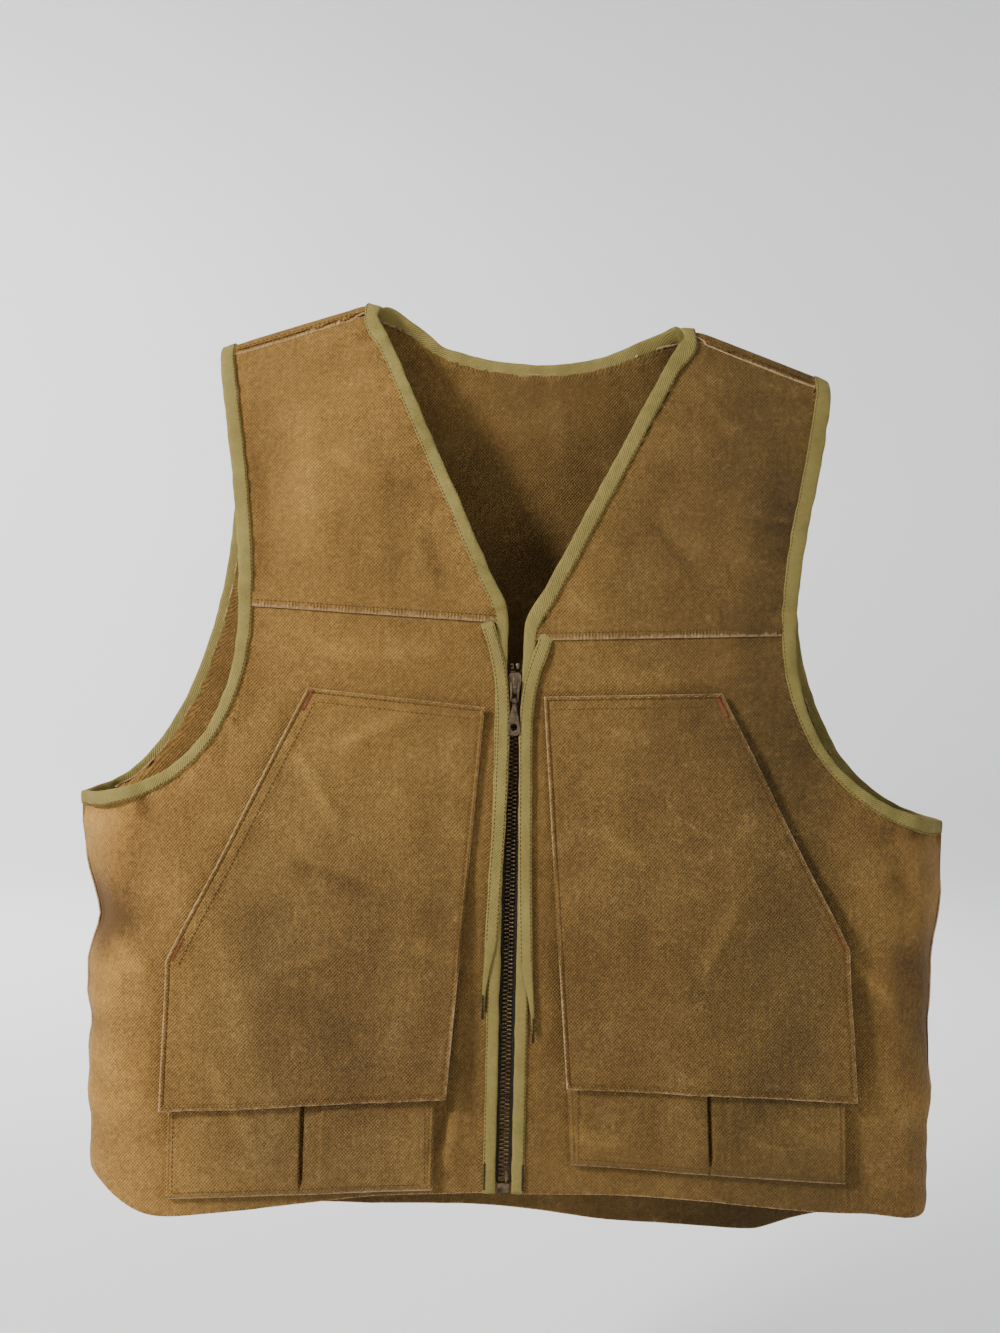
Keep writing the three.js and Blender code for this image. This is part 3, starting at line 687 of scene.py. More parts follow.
yoke_seam = {side: (corner(f"{side}_yoke", -0.55 * s, -1), corner(f"{side}_yoke", 1.2 * s, -1))
             for side, s in SIDES.items()}
shoulder_seam = {side: (corner(f"{side}_yoke", -0.2 * s, 1), corner(f"{side}_yoke", 1 * s, 1))
                 for side, s in SIDES.items()}
for side in SIDES:
    print(side, "yoke seam", [tuple(round(c, 3) for c in p) for p in yoke_seam[side]],
          "shoulder", [tuple(round(c, 3) for c in p) for p in shoulder_seam[side]])

# %% Make the five panels
panels = {}


def panel(node, levels, laps=()):
    bm = outer_layer(node)
    bmesh.ops.dissolve_degenerate(bm, dist=2.5 * MM, edges=bm.edges)
    refine(bm, levels)
    map_weave(bm)
    edge_wear(bm, 1.1 * MM)
    for start, end, over, lift in laps:
        lap(bm, start, end, over, lift)
    lap_side(bm, -1 if node == "back_panel" else 1)
    rumple(bm)
    # the inner faces take the darkened copy of the canvas as painted shade
    obj = finish_piece(node + "_cloth", bm, [canvas, shaded_canvas_inside], "vest", [node])
    thicken(obj, CLOTH, 1)
    panels[node] = obj


panel("back_panel", 3 - ROUGH,
      [(*shoulder_seam[side], 2.2 * MM, 1.3 * MM) for side in SIDES])
for side in SIDES:
    panel(f"{side}_yoke", 4 - ROUGH, [(*yoke_seam[side], 3.0 * MM, 1.5 * MM)])
    panel(f"{side}_front_panel", 4 - ROUGH)


# %% [markdown]
# ## Sweeping tape along an edge
# A folded tape is one closed profile carried along the stations. The grid operator gives rows and
# columns; each row is laid at its station, the last column is joined to the first, and the two
# ends are closed. The tape swells and narrows a little, as it does where it was eased round a curve.

# %% Sweep a profile
def place_grid(nx, ny, place, close=False):
    """A grid of nx by ny faces, each vertex put by place(column, row), with weave from place."""
    bm = bmesh.new()
    bmesh.ops.create_grid(bm, x_segments=nx, y_segments=ny, size=1)
    layer = bm.loops.layers.uv.new("weave")
    spots = {}
    for v in bm.verts:
        column, row = round((v.co.x + 1) / 2 * nx), round((v.co.y + 1) / 2 * ny)
        spots[v.index] = place(column, row)
    for face in bm.faces:
        for loop in face.loops:
            loop[layer].uv = spots[loop.vert.index][1]
    for v in bm.verts:
        v.co = spots[v.index][0]
    if close:
        bmesh.ops.remove_doubles(bm, verts=bm.verts, dist=0.02 * MM)
        bmesh.ops.holes_fill(bm, edges=[e for e in bm.edges if e.is_boundary], sides=0)
        bmesh.ops.recalc_face_normals(bm, faces=bm.faces)
    return bm


def folded_profile(thick, n=12):
    """Points round a soft flat loop: across, out, distance round."""
    points = []
    for k in range(n + 1):
        a = 2 * math.pi * k / n + math.pi / n
        c, s = math.cos(a), math.sin(a)
        points.append((math.copysign(abs(c) ** 0.55, c), math.copysign(abs(s) ** 0.7, s) * thick / 2))
    around = [0]
    for (x0, y0), (x1, y1) in zip(points, points[1:]):
        around.append(around[-1] + math.hypot(x1 - x0, (y1 - y0) / (4 * MM)))
    return [(x, y, d) for (x, y), d in zip(points, around)]


def even(left):
    return 1.0, 0.0


def sweep_tape(name, line, ease, thick, nodes, look=olive_twill,
               shift=0.0, follow=True, lumps=1.0, cut=even):
    """ease widens the CAD's half width; cut gives a share of it and a shift, by the length left."""
    profile = folded_profile(thick)
    seed = len(name)
    long = line[-1][3]

    def place(column, row):
        middle, across, out, s, half = line[row]
        px, py, d = profile[column]
        share, aside = cut(long - s)
        px, d = px * (half + ease) * share, d * (half + ease)
        lift = (drape(middle) + pucker(middle)) if follow else 0
        swell = 1 + lumps * 0.10 * noise.noise(Vector((s / (11 * MM), seed, 0)))
        plump = 1 + lumps * 0.30 * noise.noise(Vector((s / (6 * MM), seed, px / (4 * MM))))
        sway = lumps * 0.5 * MM * noise.noise(Vector((s / (26 * MM), seed + 5, 0)))
        spot = middle + across * (shift + aside + sway + px * swell) + out * (lift + py * plump)
        return spot, (d, s)

    bm = place_grid(len(profile) - 1, len(line) - 1, place, close=True)
    wear = bm.verts.layers.float.new("wear")
    tree = point_tree([station[0] for station in line])
    for v in bm.verts:
        middle, across, _, _, half = line[tree.find(v.co)[1]]
        v[wear] = max(0, abs((v.co - middle).dot(across) - shift) / (half + ease) - 0.55)
    obj = finish_piece(name, bm, [look], "vest", nodes)
    return obj


# %% Bind the neck and the armholes
def towards_cloth(line):
    """Turns every station so that across points away from the panels."""
    votes = 0
    trees = [BVHTree.FromObject(p, bpy.context.evaluated_depsgraph_get()) for p in panels.values()]
    for middle, across, _, _, _ in line[::9]:
        plus, minus = (min(tree.find_nearest(middle + across * reach)[3] for tree in trees)
                       for reach in (6 * MM, -6 * MM))
        votes += 1 if plus > minus else -1
    if votes > 0:
        return line
    return [(middle, -across, out, s, half) for middle, across, out, s, half in line]


tapes = {}
bound = {node: towards_cloth(line) for node, line in bound.items()}
for node, line in bound.items():
    stands_for = [node] + [f"{side}_front_binding" for side in SIDES if "neck" in node]
    tapes[node] = sweep_tape(node + "_tape", line, 0.5 * MM, 3.0 * MM, stands_for,
                             shift=-0.5 * MM)

# %% [markdown]
# ## Outer tapes
# One tape binds the whole opening, up one front, round the neck and down the other front. Over it,
# from the yoke seam down, lies a second tape on each side, which narrows to a point where it is
# stitched down. The zip's own dark tapes lie behind.

# %% Lay the outer tapes and the zip's tapes
def tuck(rows, reach):
    """Adds a row above the top one, under the yoke's lapped seam."""
    rows = sorted(rows, key=lambda row: -row[0].z)
    step = (rows[0][0] - rows[1][0]).normalized() * reach + Vector((0, 2.2 * MM, 0))
    return [(rows[0][0] + step, rows[0][1] + step, rows[0][2])] + rows


def pointed(left):
    """The outer tape narrows to a point against the cloth over its last stretch."""
    share = float(smooth_step(4 * MM, 62 * MM, left))
    return 0.26 + 0.74 * share, (1 - share) * 2.9 * MM


front_lines = {}
for side, s in SIDES.items():
    outer, inner = f"{side}_placket_binding", f"{side}_zip_tape"
    found = {outer: tuck(strip_rows(outer), (2 if s < 0 else 8) * MM), inner: strip_rows(inner)}
    for node, pairs in found.items():
        front_lines[node] = [(m, a if a.x * s > 0 else -a, o, d, h) for m, a, o, d, h in stations(pairs)]
    tapes[outer] = sweep_tape(f"{side}_placket_tape", front_lines[outer], 0.1 * MM, 2.2 * MM,
                              [outer], follow=False, cut=pointed)
    sweep_tape(f"{side}_zip_cloth", front_lines[inner], 0, 0.9 * MM, [inner],
               zip_tape, follow=False, lumps=0.0)


# %% [markdown]
# ## Patch pockets
# Each large pocket is one five-sided piece of canvas, sewn on at its top and its inner edge. The
# slanted edge is open for the hand, and below the bar tacks the cloth is a loose flap over the
# lower pocket. So it is made as one sheet on a grid, and its height over the front is a formula:
# low at the sewn edges, full in the middle, further out towards the flap's lower edge.

# %% Read the pockets' corners
def front_plane():
    at = np.array([tuple(v.co) for v in frame["nodes"]["right_front_panel"].data.vertices])
    at = at[(abs(at[:, 0]) < 0.2) & (at[:, 2] < -0.42)]
    outer = at[at[:, 1] < np.median(at[:, 1])]
    return np.linalg.lstsq(np.c_[np.ones(len(outer)), outer[:, 2]], outer[:, 1], rcond=None)[0]


plane_y, plane_slope = front_plane()
plane_out = Vector((0, -1, plane_slope)).normalized()
print(f"front plane: y = {plane_y:.4f} + {plane_slope:.4f} z")


def on_front(x, z, lift):
    """A point lift metres in front of the rumpled front panel."""
    base = Vector((x, plane_y + plane_slope * z, z))
    return base + plane_out * (drape(base) + lift)


def pocket_outline(side):
    s = SIDES[side]
    hand, flap = f"{side}_hand_pocket", f"{side}_pocket_flap"
    picks = [(flap, -s, -1), (hand, -s, -1), (hand, -s, 1), (hand, s, 1), (hand, s, -1), (flap, s, -1)]
    return [corner(node, dx, dz).xz for node, dx, dz in picks]


outlines = {side: pocket_outline(side) for side in SIDES}
for side, outline in outlines.items():
    print(side, "pocket corners", [(round(x, 3), round(z, 3)) for x, z in outline])


# %% Sew the large pockets
FLAP_SHARE = 0.35  # how much of the grid's height is flap
LEAST_LIFT = 1.3  # no pocket cloth lies nearer to the front than this, in mm
SEWN_LIFT = 1.7  # height of a stitched edge over the front, in mm


def close_to_edges(long, count):
    """Places from 0 to 1 along a length in mm: narrow rows beside both ends, even ones between."""
    near = [0, 0.6, 1.2, 1.9, 2.5, 3.0, 3.5, 4.3, 5.4, 7.0]
    between = np.linspace(9.0, long - 9.0, count)
    return [d / long for d in (*near, *between, *(long - d for d in reversed(near)))]


def raised_seam(far):
    """A turned edge stands up, and sinks where it is stitched; far and the result in mm."""
    return 0.85 * math.exp(-((far - 1.2) / 1.0) ** 2) - 0.6 * math.exp(-((far - 3.0) / 0.55) ** 2)


def rolled(far, radius):
    """From 0 at an edge to 1 at radius from it, rising as a rolled edge does."""
    return math.sqrt(max(0, 1 - (1 - min(far / radius, 1)) ** 2))


def pocket_place(side, u, v):
    """x, z and lift of a point of the pocket: u runs outwards, v from the lower edge to the top."""
    low_in, fold_in, top_in, top_out, fold_out, low_out = outlines[side]
    on_flap = v < FLAP_SHARE
    if on_flap:
        t = v / FLAP_SHARE
        near, far = low_in.lerp(fold_in, t), low_out.lerp(fold_out, t)
    else:
        t = (v - FLAP_SHARE) / (1 - FLAP_SHARE)
        near, far = fold_in.lerp(top_in, t), fold_out.lerp(top_out, t)
    width = abs(far.x - near.x) / MM
    inner, outer = u * width, (1 - u) * width
    top = 200 if on_flap else (1 - t) * (top_in.y - fold_in.y) / MM
    low = v * (fold_in.y - low_in.y) / FLAP_SHARE / MM
    above = float(smooth_step(FLAP_SHARE - 0.05, FLAP_SHARE + 0.04, v))
    full = 2.2 + 6.5 * (1 - above) + above * 6.3 * float(smooth_step(70, 8, (v - FLAP_SHARE) * 250))
    full += above * 2.6 * math.sin(math.pi * min(u * 1.05, 1)) * float(smooth_step(0, 60, top))
    full += (1 - above) * 5.0 * float(smooth_step(FLAP_SHARE, 0, v))
    sewn = (1 - above * (1 - rolled(inner, 3.2))) * (1 if on_flap else rolled(top, 2.5))
    lift = SEWN_LIFT + (full - SEWN_LIFT) * sewn
    hem = float(smooth_step(10.5, 9.0, min(outer * 0.88 if v > FLAP_SHARE else 99, top)))
    gapes = float(smooth_step(26, 0, outer)) * float(smooth_step(2, 40, top))
    lift += above * (0.7 * hem + 2.4 * gapes) + raised_seam(min(inner, outer, top, low))
    return *near.lerp(far, u), max(lift, LEAST_LIFT) * MM


def sew_patch(name, columns, rows_up, place, thickness, body, nodes):
    """A patch of canvas on the front, with the wear and the folds that its colour follows."""
    bm = place_grid(columns, rows_up, place)
    face_outwards(bm, FRONT)
    edge_wear(bm, 2.0 * MM, band=False)
    fold = bm.verts.layers.float.new("fold")
    for v in bm.verts:
        v[fold] = drape(v.co) / FULL_FOLD
    return thicken(finish_piece(name, bm, [canvas], body, nodes), thickness)


def sew_pocket(side):
    across, upwards = close_to_edges(165, 58), close_to_edges(255, 86)

    def place(column, row):
        u, v = across[column], upwards[row]
        x, z, lift = pocket_place(side, u, v)
        z -= 0.6 * MM * noise.noise(Vector((x / (9 * MM), 3, 0))) * (v < 0.02)
        spot = on_front(x, z, lift)
        spot += plane_out * 0.7 * MM * noise.noise(Vector((x * 30, 5, z * 26)))
        return spot, (x, z)

    return sew_patch(f"{side}_pocket_cloth", len(across) - 1, len(upwards) - 1, place, 1.1 * MM, None,
                     [f"{side}_hand_pocket", f"{side}_pocket_flap"])


hinge_z = {side: outline[4][1] for side, outline in outlines.items()}


def hang_flap(obj, side):
    """Bakes the piece's placement into its mesh."""
    z = hinge_z[side]
    z + 3 * MM
    z - 6 * MM
    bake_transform(obj)


pockets = {}
for side in SIDES:
    pockets[side] = sew_pocket(side)
    hang_flap(pockets[side], side)


# %% [markdown]
# ## Lower pockets
# Behind each flap is a second patch pocket with a pleat down its middle: the cloth folds under at
# a slit and comes out again, so the pocket can swell. Only its lowest part shows under the flap.

# %% Sew the lower pockets
def level_corners(node, dz):
    """The two top (dz = 1) or bottom (-1) corners of a piece, the one at -X first."""
    return sorted((corner(node, dx, dz) for dx in (-1, 1)), key=lambda p: p.x)


def lower_columns(width):
    """Across the pocket from its -X edge, in mm: place, and how far it is pushed in or out."""
    slit, crease = width * 0.5, width * 0.5 + 14
    near = [0, 0.6, 1.2, 1.9, 2.5, 3.0, 3.5, 4.3, 5.4]
    left = [(d, 0.0) for d in near]
    left += [(7 + (slit - 8.5) * k / 22, 0.5 * float(smooth_step(12, 22, k))) for k in range(23)]
    slot = [(slit - 1.2, 0.5), (slit - 0.3, 0.2), (slit, -1.0), (slit - 0.4, -5.6),
            (slit + 1.6, -5.6), (slit + 2.0, -2.6), (slit + 2.9, -1.5)]
    strip = [(slit + 2.9 + (crease - 1.2 - slit - 2.9) * k / 5, -1.4) for k in range(1, 6)]
    ridge = [(crease - 0.4, -0.7), (crease, 0.5), (crease + 0.7, 0.5), (crease + 2.0, 0.2)]
    right = [(crease + 2.0 + (width - crease - 9.0) * k / 16, 0.0) for k in range(1, 17)]
    right += [(width - d, 0.0) for d in reversed(near)]
    return left + slot + strip + ridge + right


def sew_lower_pocket(side, ny=40):
    node = f"{side}_lower_pocket"
    low, top = level_corners(node, -1), level_corners(node, 1)
    width, height = (low[1].x - low[0].x) / MM, (top[0].z - low[0].z) / MM
    columns = lower_columns(width)

    def place(column, row):
        across, push = columns[column]
        u, v = across / width, row / ny
        x, _, z = low[0].lerp(low[1], u).lerp(top[0].lerp(top[1], u), v)
        rim = min(across, width - across, v * height + 0.4)
        pleat = push * float(smooth_step(3, 14, v * height))
        full = (6.3 + 1.2 * math.sin(math.pi * u)) * rolled(max(rim, 0), 3.0)
        lift = SEWN_LIFT + full + pleat + raised_seam(rim)
        return on_front(x, z, max(lift, 1.2) * MM), (x, z)

    obj = sew_patch(f"{side}_lower_pocket_cloth", len(columns) - 1, ny, place, 0.9 * MM, "vest", [node])
    return obj


lower = {side: sew_lower_pocket(side) for side in SIDES}


# %% [markdown]
# ## Stitches
# Every seam is held by a row of lockstitch: short threads about 3 mm apart that dip into the
# cloth at both ends. One stitch is a small stretched sphere of a few faces. A ray from the front,
# or the nearest point of the cloth, says where the surface is, so the rows lie on the folds.

# %% Lay a row of stitches
def surface_of(*objects):
    return [BVHTree.FromObject(o, bpy.context.evaluated_depsgraph_get()) for o in objects]


def touch(trees, p):
    """The front surface before p, as place and normal."""
    hits = [tree.ray_cast(Vector((p.x, -0.3, p.z)), Vector((0, 1, 0))) for tree in trees]
    hits = [h for h in hits if h[0] is not None]
    return min(hits, key=lambda h: h[0].y)[:2] if hits else (None, None)


def nearest(trees, p):
    return min((tree.find_nearest(p) for tree in trees), key=lambda h: h[3])[:2]


one_thread = bmesh.new()
bmesh.ops.create_uvsphere(one_thread, u_segments=6, v_segments=5, radius=1,
                          matrix=Matrix.Rotation(math.pi / 2, 4, "Y"))
thread_mesh = bpy.data.meshes.new("one_thread")
one_thread.to_mesh(thread_mesh)
one_thread.free()


def add_thread(bm, a, b, out, radius):
    """One thread from a to b: a copy of a small stretched sphere."""
    long = (b - a).length
    if long < 0.01 * MM:
        return
    along = (b - a).normalized()
    sideways = out.cross(along).normalized()
    turn = Matrix((along, sideways, along.cross(sideways))).transposed().to_4x4()
    size = Matrix.Diagonal((long / 2, radius, radius * 0.8, 1))
    copy = thread_mesh.copy()
    copy.transform(Matrix.Translation((a + b) / 2) @ turn @ size)
    bm.from_mesh(copy)
    bpy.data.meshes.remove(copy)


def walk(points, step):
    """Points every step metres along a line of points."""
    at = np.array([tuple(p) for p in points])
    run = np.concatenate([[0], np.cumsum(np.linalg.norm(np.diff(at, axis=0), axis=1))])
    wanted = np.arange(0, run[-1], step)
    return [Vector([np.interp(w, run, at[:, k]) for k in range(3)]) for w in wanted]


def stitch_row(bm, points, find, pitch=3.1 * MM, radius=0.34 * MM):
    """Threads that fill most of every pitch along the points and dip a little into the cloth."""
    share, sink = 0.72, 0.10 * MM
    spots = walk(points, pitch)
    for a, b in zip(spots, spots[1:]):
        middle, out = find((a + b) / 2)
        if middle is None:
            continue
        along = (b - a).normalized()
        along = (along - along.dot(out) * out).normalized() * (b - a).length * share / 2
        lifted = middle + out * (radius * 0.6 - sink)
        add_thread(bm, lifted - along, lifted + along, out, radius)


def bar_tack(bm, a, b, find, width=2.6 * MM, pitch=0.62 * MM, radius=0.36 * MM):
    """Close zigzag stitches across the line from a to b."""
    for spot in walk([a, b], pitch):
        middle, out = find(spot)
        if middle is None:
            continue
        sideways = out.cross(b - a).normalized() * width / 2
        lifted = middle + out * radius * 0.7
        add_thread(bm, lifted - sideways, lifted + sideways, out, radius)


def inset_outline(outline, by):
    """The outline of (x, z) corners moved inwards, in space; it starts at the same corner."""
    turns = sum(a.cross(b) for a, b in zip(outline, outline[1:] + outline[:1]))
    lines = []
    for a, b in zip(outline, outline[1:] + outline[:1]):
        d = (b - a).normalized()
        lines.append((a + Vector((-d.y, d.x)) * math.copysign(by, turns), d))
    found = []
    for (p, d), (q, e) in zip(lines[-1:] + lines[:-1], lines):
        meet = p + d * ((q - p).cross(e) / d.cross(e))
        found.append(Vector((meet.x, 0, meet.y)))
    return found


def sew(name, look, rows, slot="canvas", body="vest", **how):
    """A piece made of rows of stitches, each given by its points and the way to find the cloth."""
    bm = bmesh.new()
    for points, find in rows:
        stitch_row(bm, points, find, **how)
    return finish_piece(name, bm, [look], body)


# %% Stitch the large pockets
for side, s in SIDES.items():
    find = partial(touch, surface_of(pockets[side]))
    corners = outlines[side]
    pentagon = corners[:1] + corners[2:]  # low in, top in, top out, fold out, low out
    rim, hem = inset_outline(pentagon, 2.6 * MM), inset_outline(pentagon, 8.6 * MM)
    seams = ((rim, 1, 2), (hem, 1, 2), (rim, 0, 1), (hem, 2, 3), (rim, 2, 3), (rim, 3, 4), (rim, 4, 0))
    row = sew(f"{side}_pocket_stitches", brown_thread,
              [([line[i], line[k]], find) for line, i, k in seams], body=None)
    hang_flap(row, side)
    top_out, fold_out = (Vector((x, 0, z)) for x, z in corners[3:5])
    inward = Vector((-s, 0, 0))
    slant = (fold_out - top_out).normalized()
    start = top_out + inward * 4.5 * MM + slant * 1.5 * MM
    stop = fold_out + inward * 3.5 * MM - slant * 1.5 * MM
    bm = bmesh.new()
    bar_tack(bm, start, start + slant * 15 * MM, find)
    bar_tack(bm, stop - slant * 17 * MM, stop, find)
    hang_flap(finish_piece(f"{side}_pocket_tacks", bm, [red_thread]), side)

# %% [markdown]
# ## Zip
# The teeth of the two rows sit in each other's gaps. Each tooth is a small rounded block on the
# tape's edge, with a head that hooks over the middle line.

# %% Lay the teeth
slide = next(j for j in frame["joints"] if j["name"] == "zip_slide")
zip_down = Vector(slide["axis"]).normalized()
zip_up = -zip_down


def chain_end(node, top):
    points = [Vector(v.co) for v in frame["nodes"][node].data.vertices]
    best = (max if top else min)(p.dot(zip_up) for p in points)
    picked = [p for p in points if abs(p.dot(zip_up) - best) < 0.2 * MM]
    return sum(picked, Vector()) / len(picked)


zip_side = Vector((1, 0, 0))
zip_side = (zip_side - zip_side.dot(zip_up) * zip_up).normalized()
zip_in = zip_up.cross(zip_side)


def add_block(bm, centre, size, bevel):
    """A rounded block in the zip's own directions: across, in, up."""
    turn = Matrix((zip_side, zip_in, zip_up)).transposed().to_4x4()
    place = Matrix.Translation(centre) @ turn @ Matrix.Diagonal((*size, 1))
    made = bmesh.ops.create_cube(bm, size=1, matrix=place)
    edges = {e for v in made["verts"] for e in v.link_edges}
    bmesh.ops.bevel(bm, geom=list(edges), offset=bevel, segments=1, profile=0.5, affect="EDGES", material=-1)


tooth_pitch = 2.7 * MM
for node, s, phase in (("right_zip_teeth", -1, 0.0), ("left_zip_teeth", 1, 0.5)):
    top, foot = chain_end(node, True), chain_end(node, False)
    bm = bmesh.new()
    for k in range(int((top - foot).length / tooth_pitch)):
        spot = top - zip_up * (k + 0.5 + phase) * tooth_pitch
        if (spot - foot).dot(zip_up) < 0.8 * MM:
            break
        add_block(bm, spot - zip_side * s * 0.9 * MM, (1.9 * MM, 2.0 * MM, 0.9 * MM), 0.2 * MM)
        add_block(bm, spot + zip_side * s * 0.5 * MM, (1.7 * MM, 2.8 * MM, 1.25 * MM), 0.3 * MM)
    finish_piece(f"{node}_metal", bm, [old_metal], "vest", [node])


# %% Round off the metal pieces
def metal(node, body, bevel):
    bm = bmesh.new()
    bm.from_mesh(frame["nodes"][node].data)
    bmesh.ops.remove_doubles(bm, verts=bm.verts, dist=0.01 * MM)
    bmesh.ops.dissolve_limit(bm, angle_limit=math.radians(2), verts=bm.verts, edges=bm.edges)
    sharp = [e for e in bm.edges if e.is_manifold and e.calc_face_angle(0) > math.radians(40)]
    bmesh.ops.bevel(bm, geom=sharp, offset=bevel, segments=2, profile=0.5, affect="EDGES",
                    clamp_overlap=True, material=-1)
    bmesh.ops.triangulate(bm, faces=[f for f in bm.faces if len(f.verts) > 4])
    return finish_piece(node + "_metal", bm, [old_metal], body, [node])


for node, body, bevel in (("right_top_stop", "vest", 0.5), ("left_top_stop", "vest", 0.5),
                          ("zip_retainer_box", "vest", 0.6), ("zip_insertion_pin", "vest", 0.3),
                          ("zip_slider", "slider", 0.3), ("pull_link", "link", 0.3),
                          ("pull_leaf", "pull", 0.25)):
    metal(node, body, bevel * MM)

# %% Stitch the seams
for side, s in SIDES.items():
    cloth = surface_of(panels[f"{side}_yoke"], panels[f"{side}_front_panel"], panels["back_panel"])
    above, behind = Vector((0, 0, 1.6 * MM)), Vector((0, -1 * MM, 4 * MM))
    sew(f"{side}_seam_stitches", brown_thread,
        [([p + above for p in yoke_seam[side]], partial(touch, cloth)),
         ([p + behind for p in shoulder_seam[side]], partial(nearest, cloth))])
    find = partial(touch, surface_of(lower[side]))
    low = level_corners(f"{side}_lower_pocket", -1)
    starts = [p + Vector((way * 5 * MM, 0, 5 * MM)) for p, way in zip(low, (1, -1))]
    sew(f"{side}_lower_stitches", brown_thread,
        [(starts, find)] + [([p, p + Vector((0, 0, 90 * MM))], find) for p in starts])
    foot = (low[0] + low[1]) / 2 + Vector((0, 0, 14 * MM))
    reach = Vector(((11 if s < 0 else 6) * MM, 0, 0))
    sew(f"{side}_slit_stitches", red_thread, [([foot - reach, foot + reach], find)], radius=0.45 * MM)

# %% Fray the edges
def fray(side, a, b, count, seed):
    """Short pale threads that have come loose along the pocket's edge from a to b."""
    trees = surface_of(pockets[side])
    bm = bmesh.new()
    for k in range(count):
        share = (k + 0.5 + 0.5 * noise.noise(Vector((k * 1.7, seed, 0)))) / count
        middle, out = touch(trees, a.lerp(b, share) - Vector((0, 0, 1.5 * MM)))
        if middle is None:
            continue
        turn = math.pi * noise.noise(Vector((k * 2.3, seed + 4, 0)))
        long = 1.2 + 1.2 * abs(noise.noise(Vector((k * 3.1, seed, 2))))
        reach = Vector((math.cos(turn), 0, abs(math.sin(turn)))) * long * MM
        add_thread(bm, middle - reach * 0.6 + out * 0.3 * MM, middle + reach + out * 0.6 * MM, out, 0.22 * MM)
    threads = finish_piece(f"{side}_frayed_threads", bm, [tan_thread])
    hang_flap(threads, side)


for side, count in (("right", 6), ("left", 18)):
    top_in, top_out = (Vector((x, 0, z)) for x, z in outlines[side][2:4])
    fray(side, top_in, top_out, count, 3.0)

# %% Stitch the tapes
for node, line in bound.items():
    find = partial(nearest, surface_of(tapes[node]))
    path = [m - a * (h + 0.1 * MM) + o * (drape(m) + pucker(m) + 1.4 * MM) for m, a, o, _, h in line]
    sew(node + "_stitches", brown_thread, [(path, find)], "binding", pitch=2.8 * MM)
for side, s in SIDES.items():
    line, tape = front_lines[f"{side}_placket_binding"], tapes[f"{side}_placket_binding"]
    find = partial(nearest, surface_of(tape))
    paths = [[m + a * (h - 0.8 * MM) * place + o * 1.2 * MM for m, a, o, _, h in line[2:-18]]
             for place in (0.9, -0.9)]
    sew(f"{side}_front_stitches", brown_thread, [(path, find) for path in paths], "binding", pitch=2.8 * MM)
    bm = bmesh.new()
    find = partial(touch, surface_of(tape, tapes["neck_binding"], panels[f"{side}_front_panel"]))
    m, a, _, _, h = line[-5]
    foot = m + a * (h - 1.0 * MM)
    bar_tack(bm, foot, foot + zip_down * 17 * MM, find, width=1.8 * MM, pitch=0.9 * MM)
    hem_end = rows["neck_binding"][0 if s > 0 else -1][1]
    bar_tack(bm, hem_end + zip_up * 19 * MM, hem_end + zip_up * 2 * MM, find, width=2.0 * MM, pitch=0.9 * MM)
    finish_piece(f"{side}_front_tacks", bm, [black_thread], "vest")
    bm = bmesh.new()
    low_stop, high_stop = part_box(f"{side}_top_stop")
    start = (Vector(low_stop) + Vector(high_stop)) / 2 + Vector((0, -2.0 * MM, (-4.5 if s > 0 else 0) * MM))
    for k in (-1, 0, 1):
        at = start + Vector((0, 0, k * 0.5 * MM))
        add_thread(bm, at - Vector((s * MM, 0, 0)), at + Vector((s * 6 * MM, 0, -0.6 * MM)), FRONT, 0.3 * MM)
    finish_piece(f"{side}_stop_threads", bm, [black_thread], "vest")

# %% [markdown]
# ## Room, light and camera
# A shallow pale bowl stands for floor and backdrop, far enough away to leave every view of the
# vest free. A soft lamp stands in for a window at the upper left and a weak one fills the right;
# one more lights the vest's back, and the last washes over the backdrop.

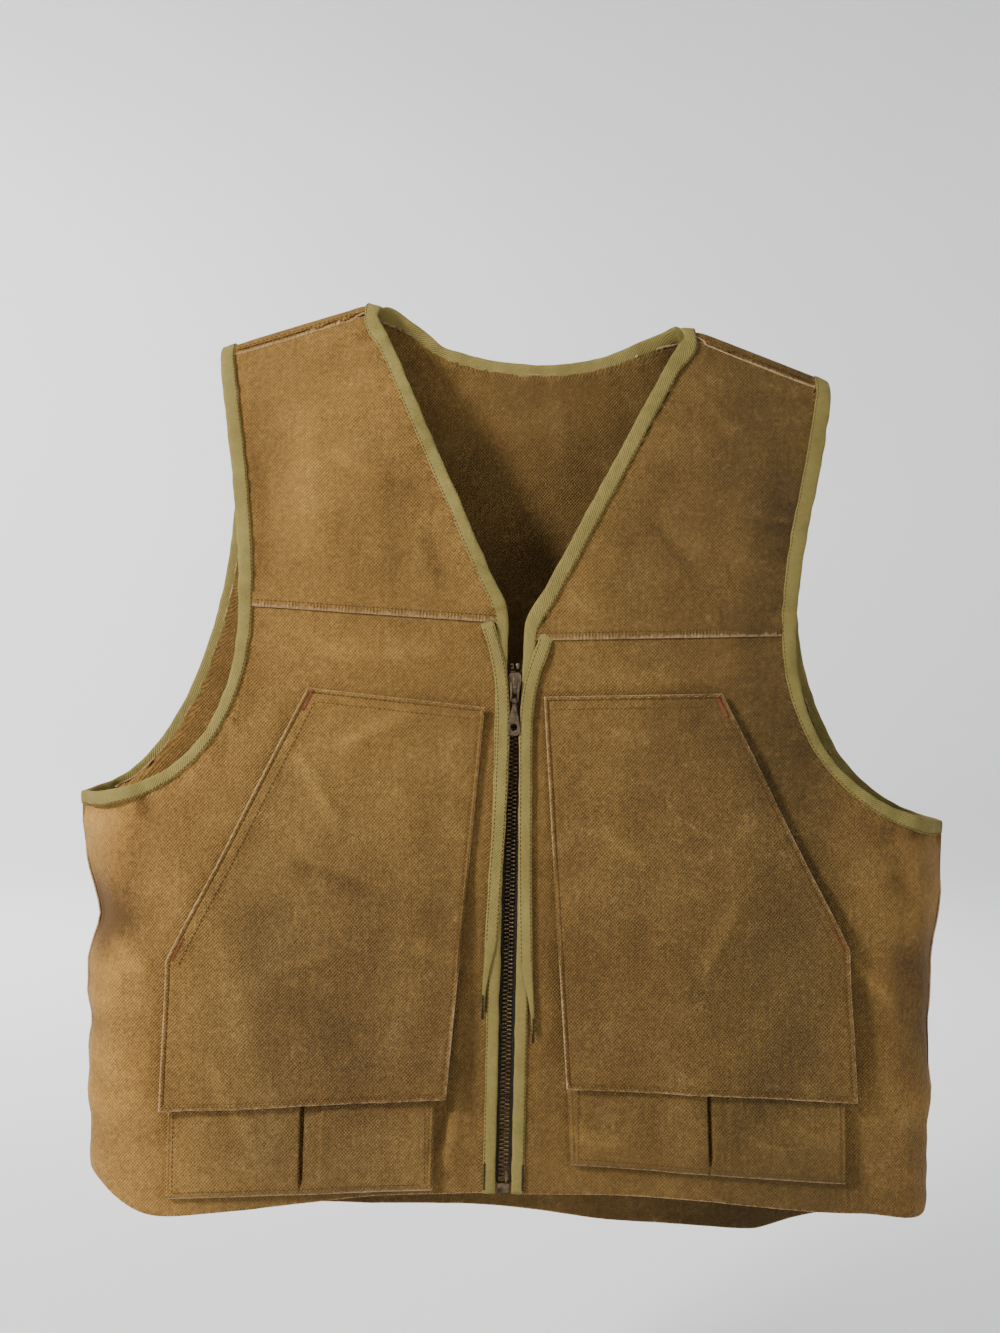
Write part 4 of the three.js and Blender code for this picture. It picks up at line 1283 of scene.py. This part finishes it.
# %% Set the stage
FLAT, CURVE, WALL_TOP = 3.6, 1.4, 4.0  # the bowl's flat floor, its rounded corner, its height
ground_z = cad_box[0].z - 0.30
outline = [(0.0, ground_z), (FLAT, ground_z)]
outline += [(FLAT + CURVE * math.sin(a), ground_z + CURVE * (1 - math.cos(a)))
            for a in np.linspace(0, math.pi / 2, 9)[1:]]
outline.append((FLAT + CURVE, ground_z + WALL_TOP))
bm = bmesh.new()
verts = [bm.verts.new((r, 0, z)) for r, z in outline]
for a, b in zip(verts, verts[1:]):
    bm.edges.new((a, b))
bmesh.ops.spin(bm, geom=bm.verts[:] + bm.edges[:], cent=(0, 0, 0), axis=(0, 0, 1), angle=2 * math.pi,
               steps=64, use_merge=True, use_duplicate=False)
bmesh.ops.remove_doubles(bm, verts=bm.verts, dist=0.001)
bmesh.ops.recalc_face_normals(bm, faces=bm.faces)
plaster = Finish("pale_plaster", Metallic=0.0, Roughness=0.9)
plaster.colour(plaster.mix(plaster.noise(plaster.where, 1.5), rgb(0.80, 0.80, 0.80), rgb(0.84, 0.84, 0.84)))
floor = mesh_object("pale_floor", bm, [plaster.material])
floor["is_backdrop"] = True

# %% Hang the lights and set the camera
def lamp(name, place, aim, size, watts, colour=(1, 1, 1)):
    light = bpy.data.lights.new(name, "AREA")
    light.shape, light.size, light.energy, light.color = "DISK", size, watts, colour
    obj = add_object(name, light)
    obj.location = place
    obj.rotation_euler = (Vector(aim) - Vector(place)).to_track_quat("-Z", "Y").to_euler()


middle = (cad_box[0] + cad_box[1]) / 2
lamp("window_light", (-1.45, -1.10, 0.62), middle, 0.36, 55, (1.0, 0.985, 0.955))
lamp("room_fill", (1.9, -2.2, 0.2), middle, 1.6, 15, (0.97, 0.98, 1.0))
lamp("back_light", (0.4, 2.6, 1.4), middle, 1.6, 45)
lamp("backdrop_wash", (-2.0, 1.4, 1.6), (-1.2, 5.0, -0.2), 1.6, 175)
world = bpy.data.worlds.new("soft_room")
world.use_nodes = True
world.node_tree.nodes["Background"].inputs["Color"].default_value = rgb(0.95, 0.97, 1.0)
world.node_tree.nodes["Background"].inputs["Strength"].default_value = 0.52
bpy.context.scene.world = world

camera_data = bpy.data.cameras.new("camera")
camera_data.sensor_fit, camera_data.sensor_width, camera_data.lens = "HORIZONTAL", 36, 44.35
camera_data.clip_start = 0.01
camera = add_object("camera", camera_data)
camera.location = (-0.009, -0.85, -0.243)
camera.rotation_euler = (math.pi / 2, 0, 0)
bpy.context.scene.camera = camera

# %% Compare with the CAD box and finish
looks_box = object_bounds()
grown = [round((looks_box[1][k] - looks_box[0][k] - cad_box[1][k] + cad_box[0][k]) * 1000, 1) for k in range(3)]
print("looks wider than the CAD by (mm):", grown)
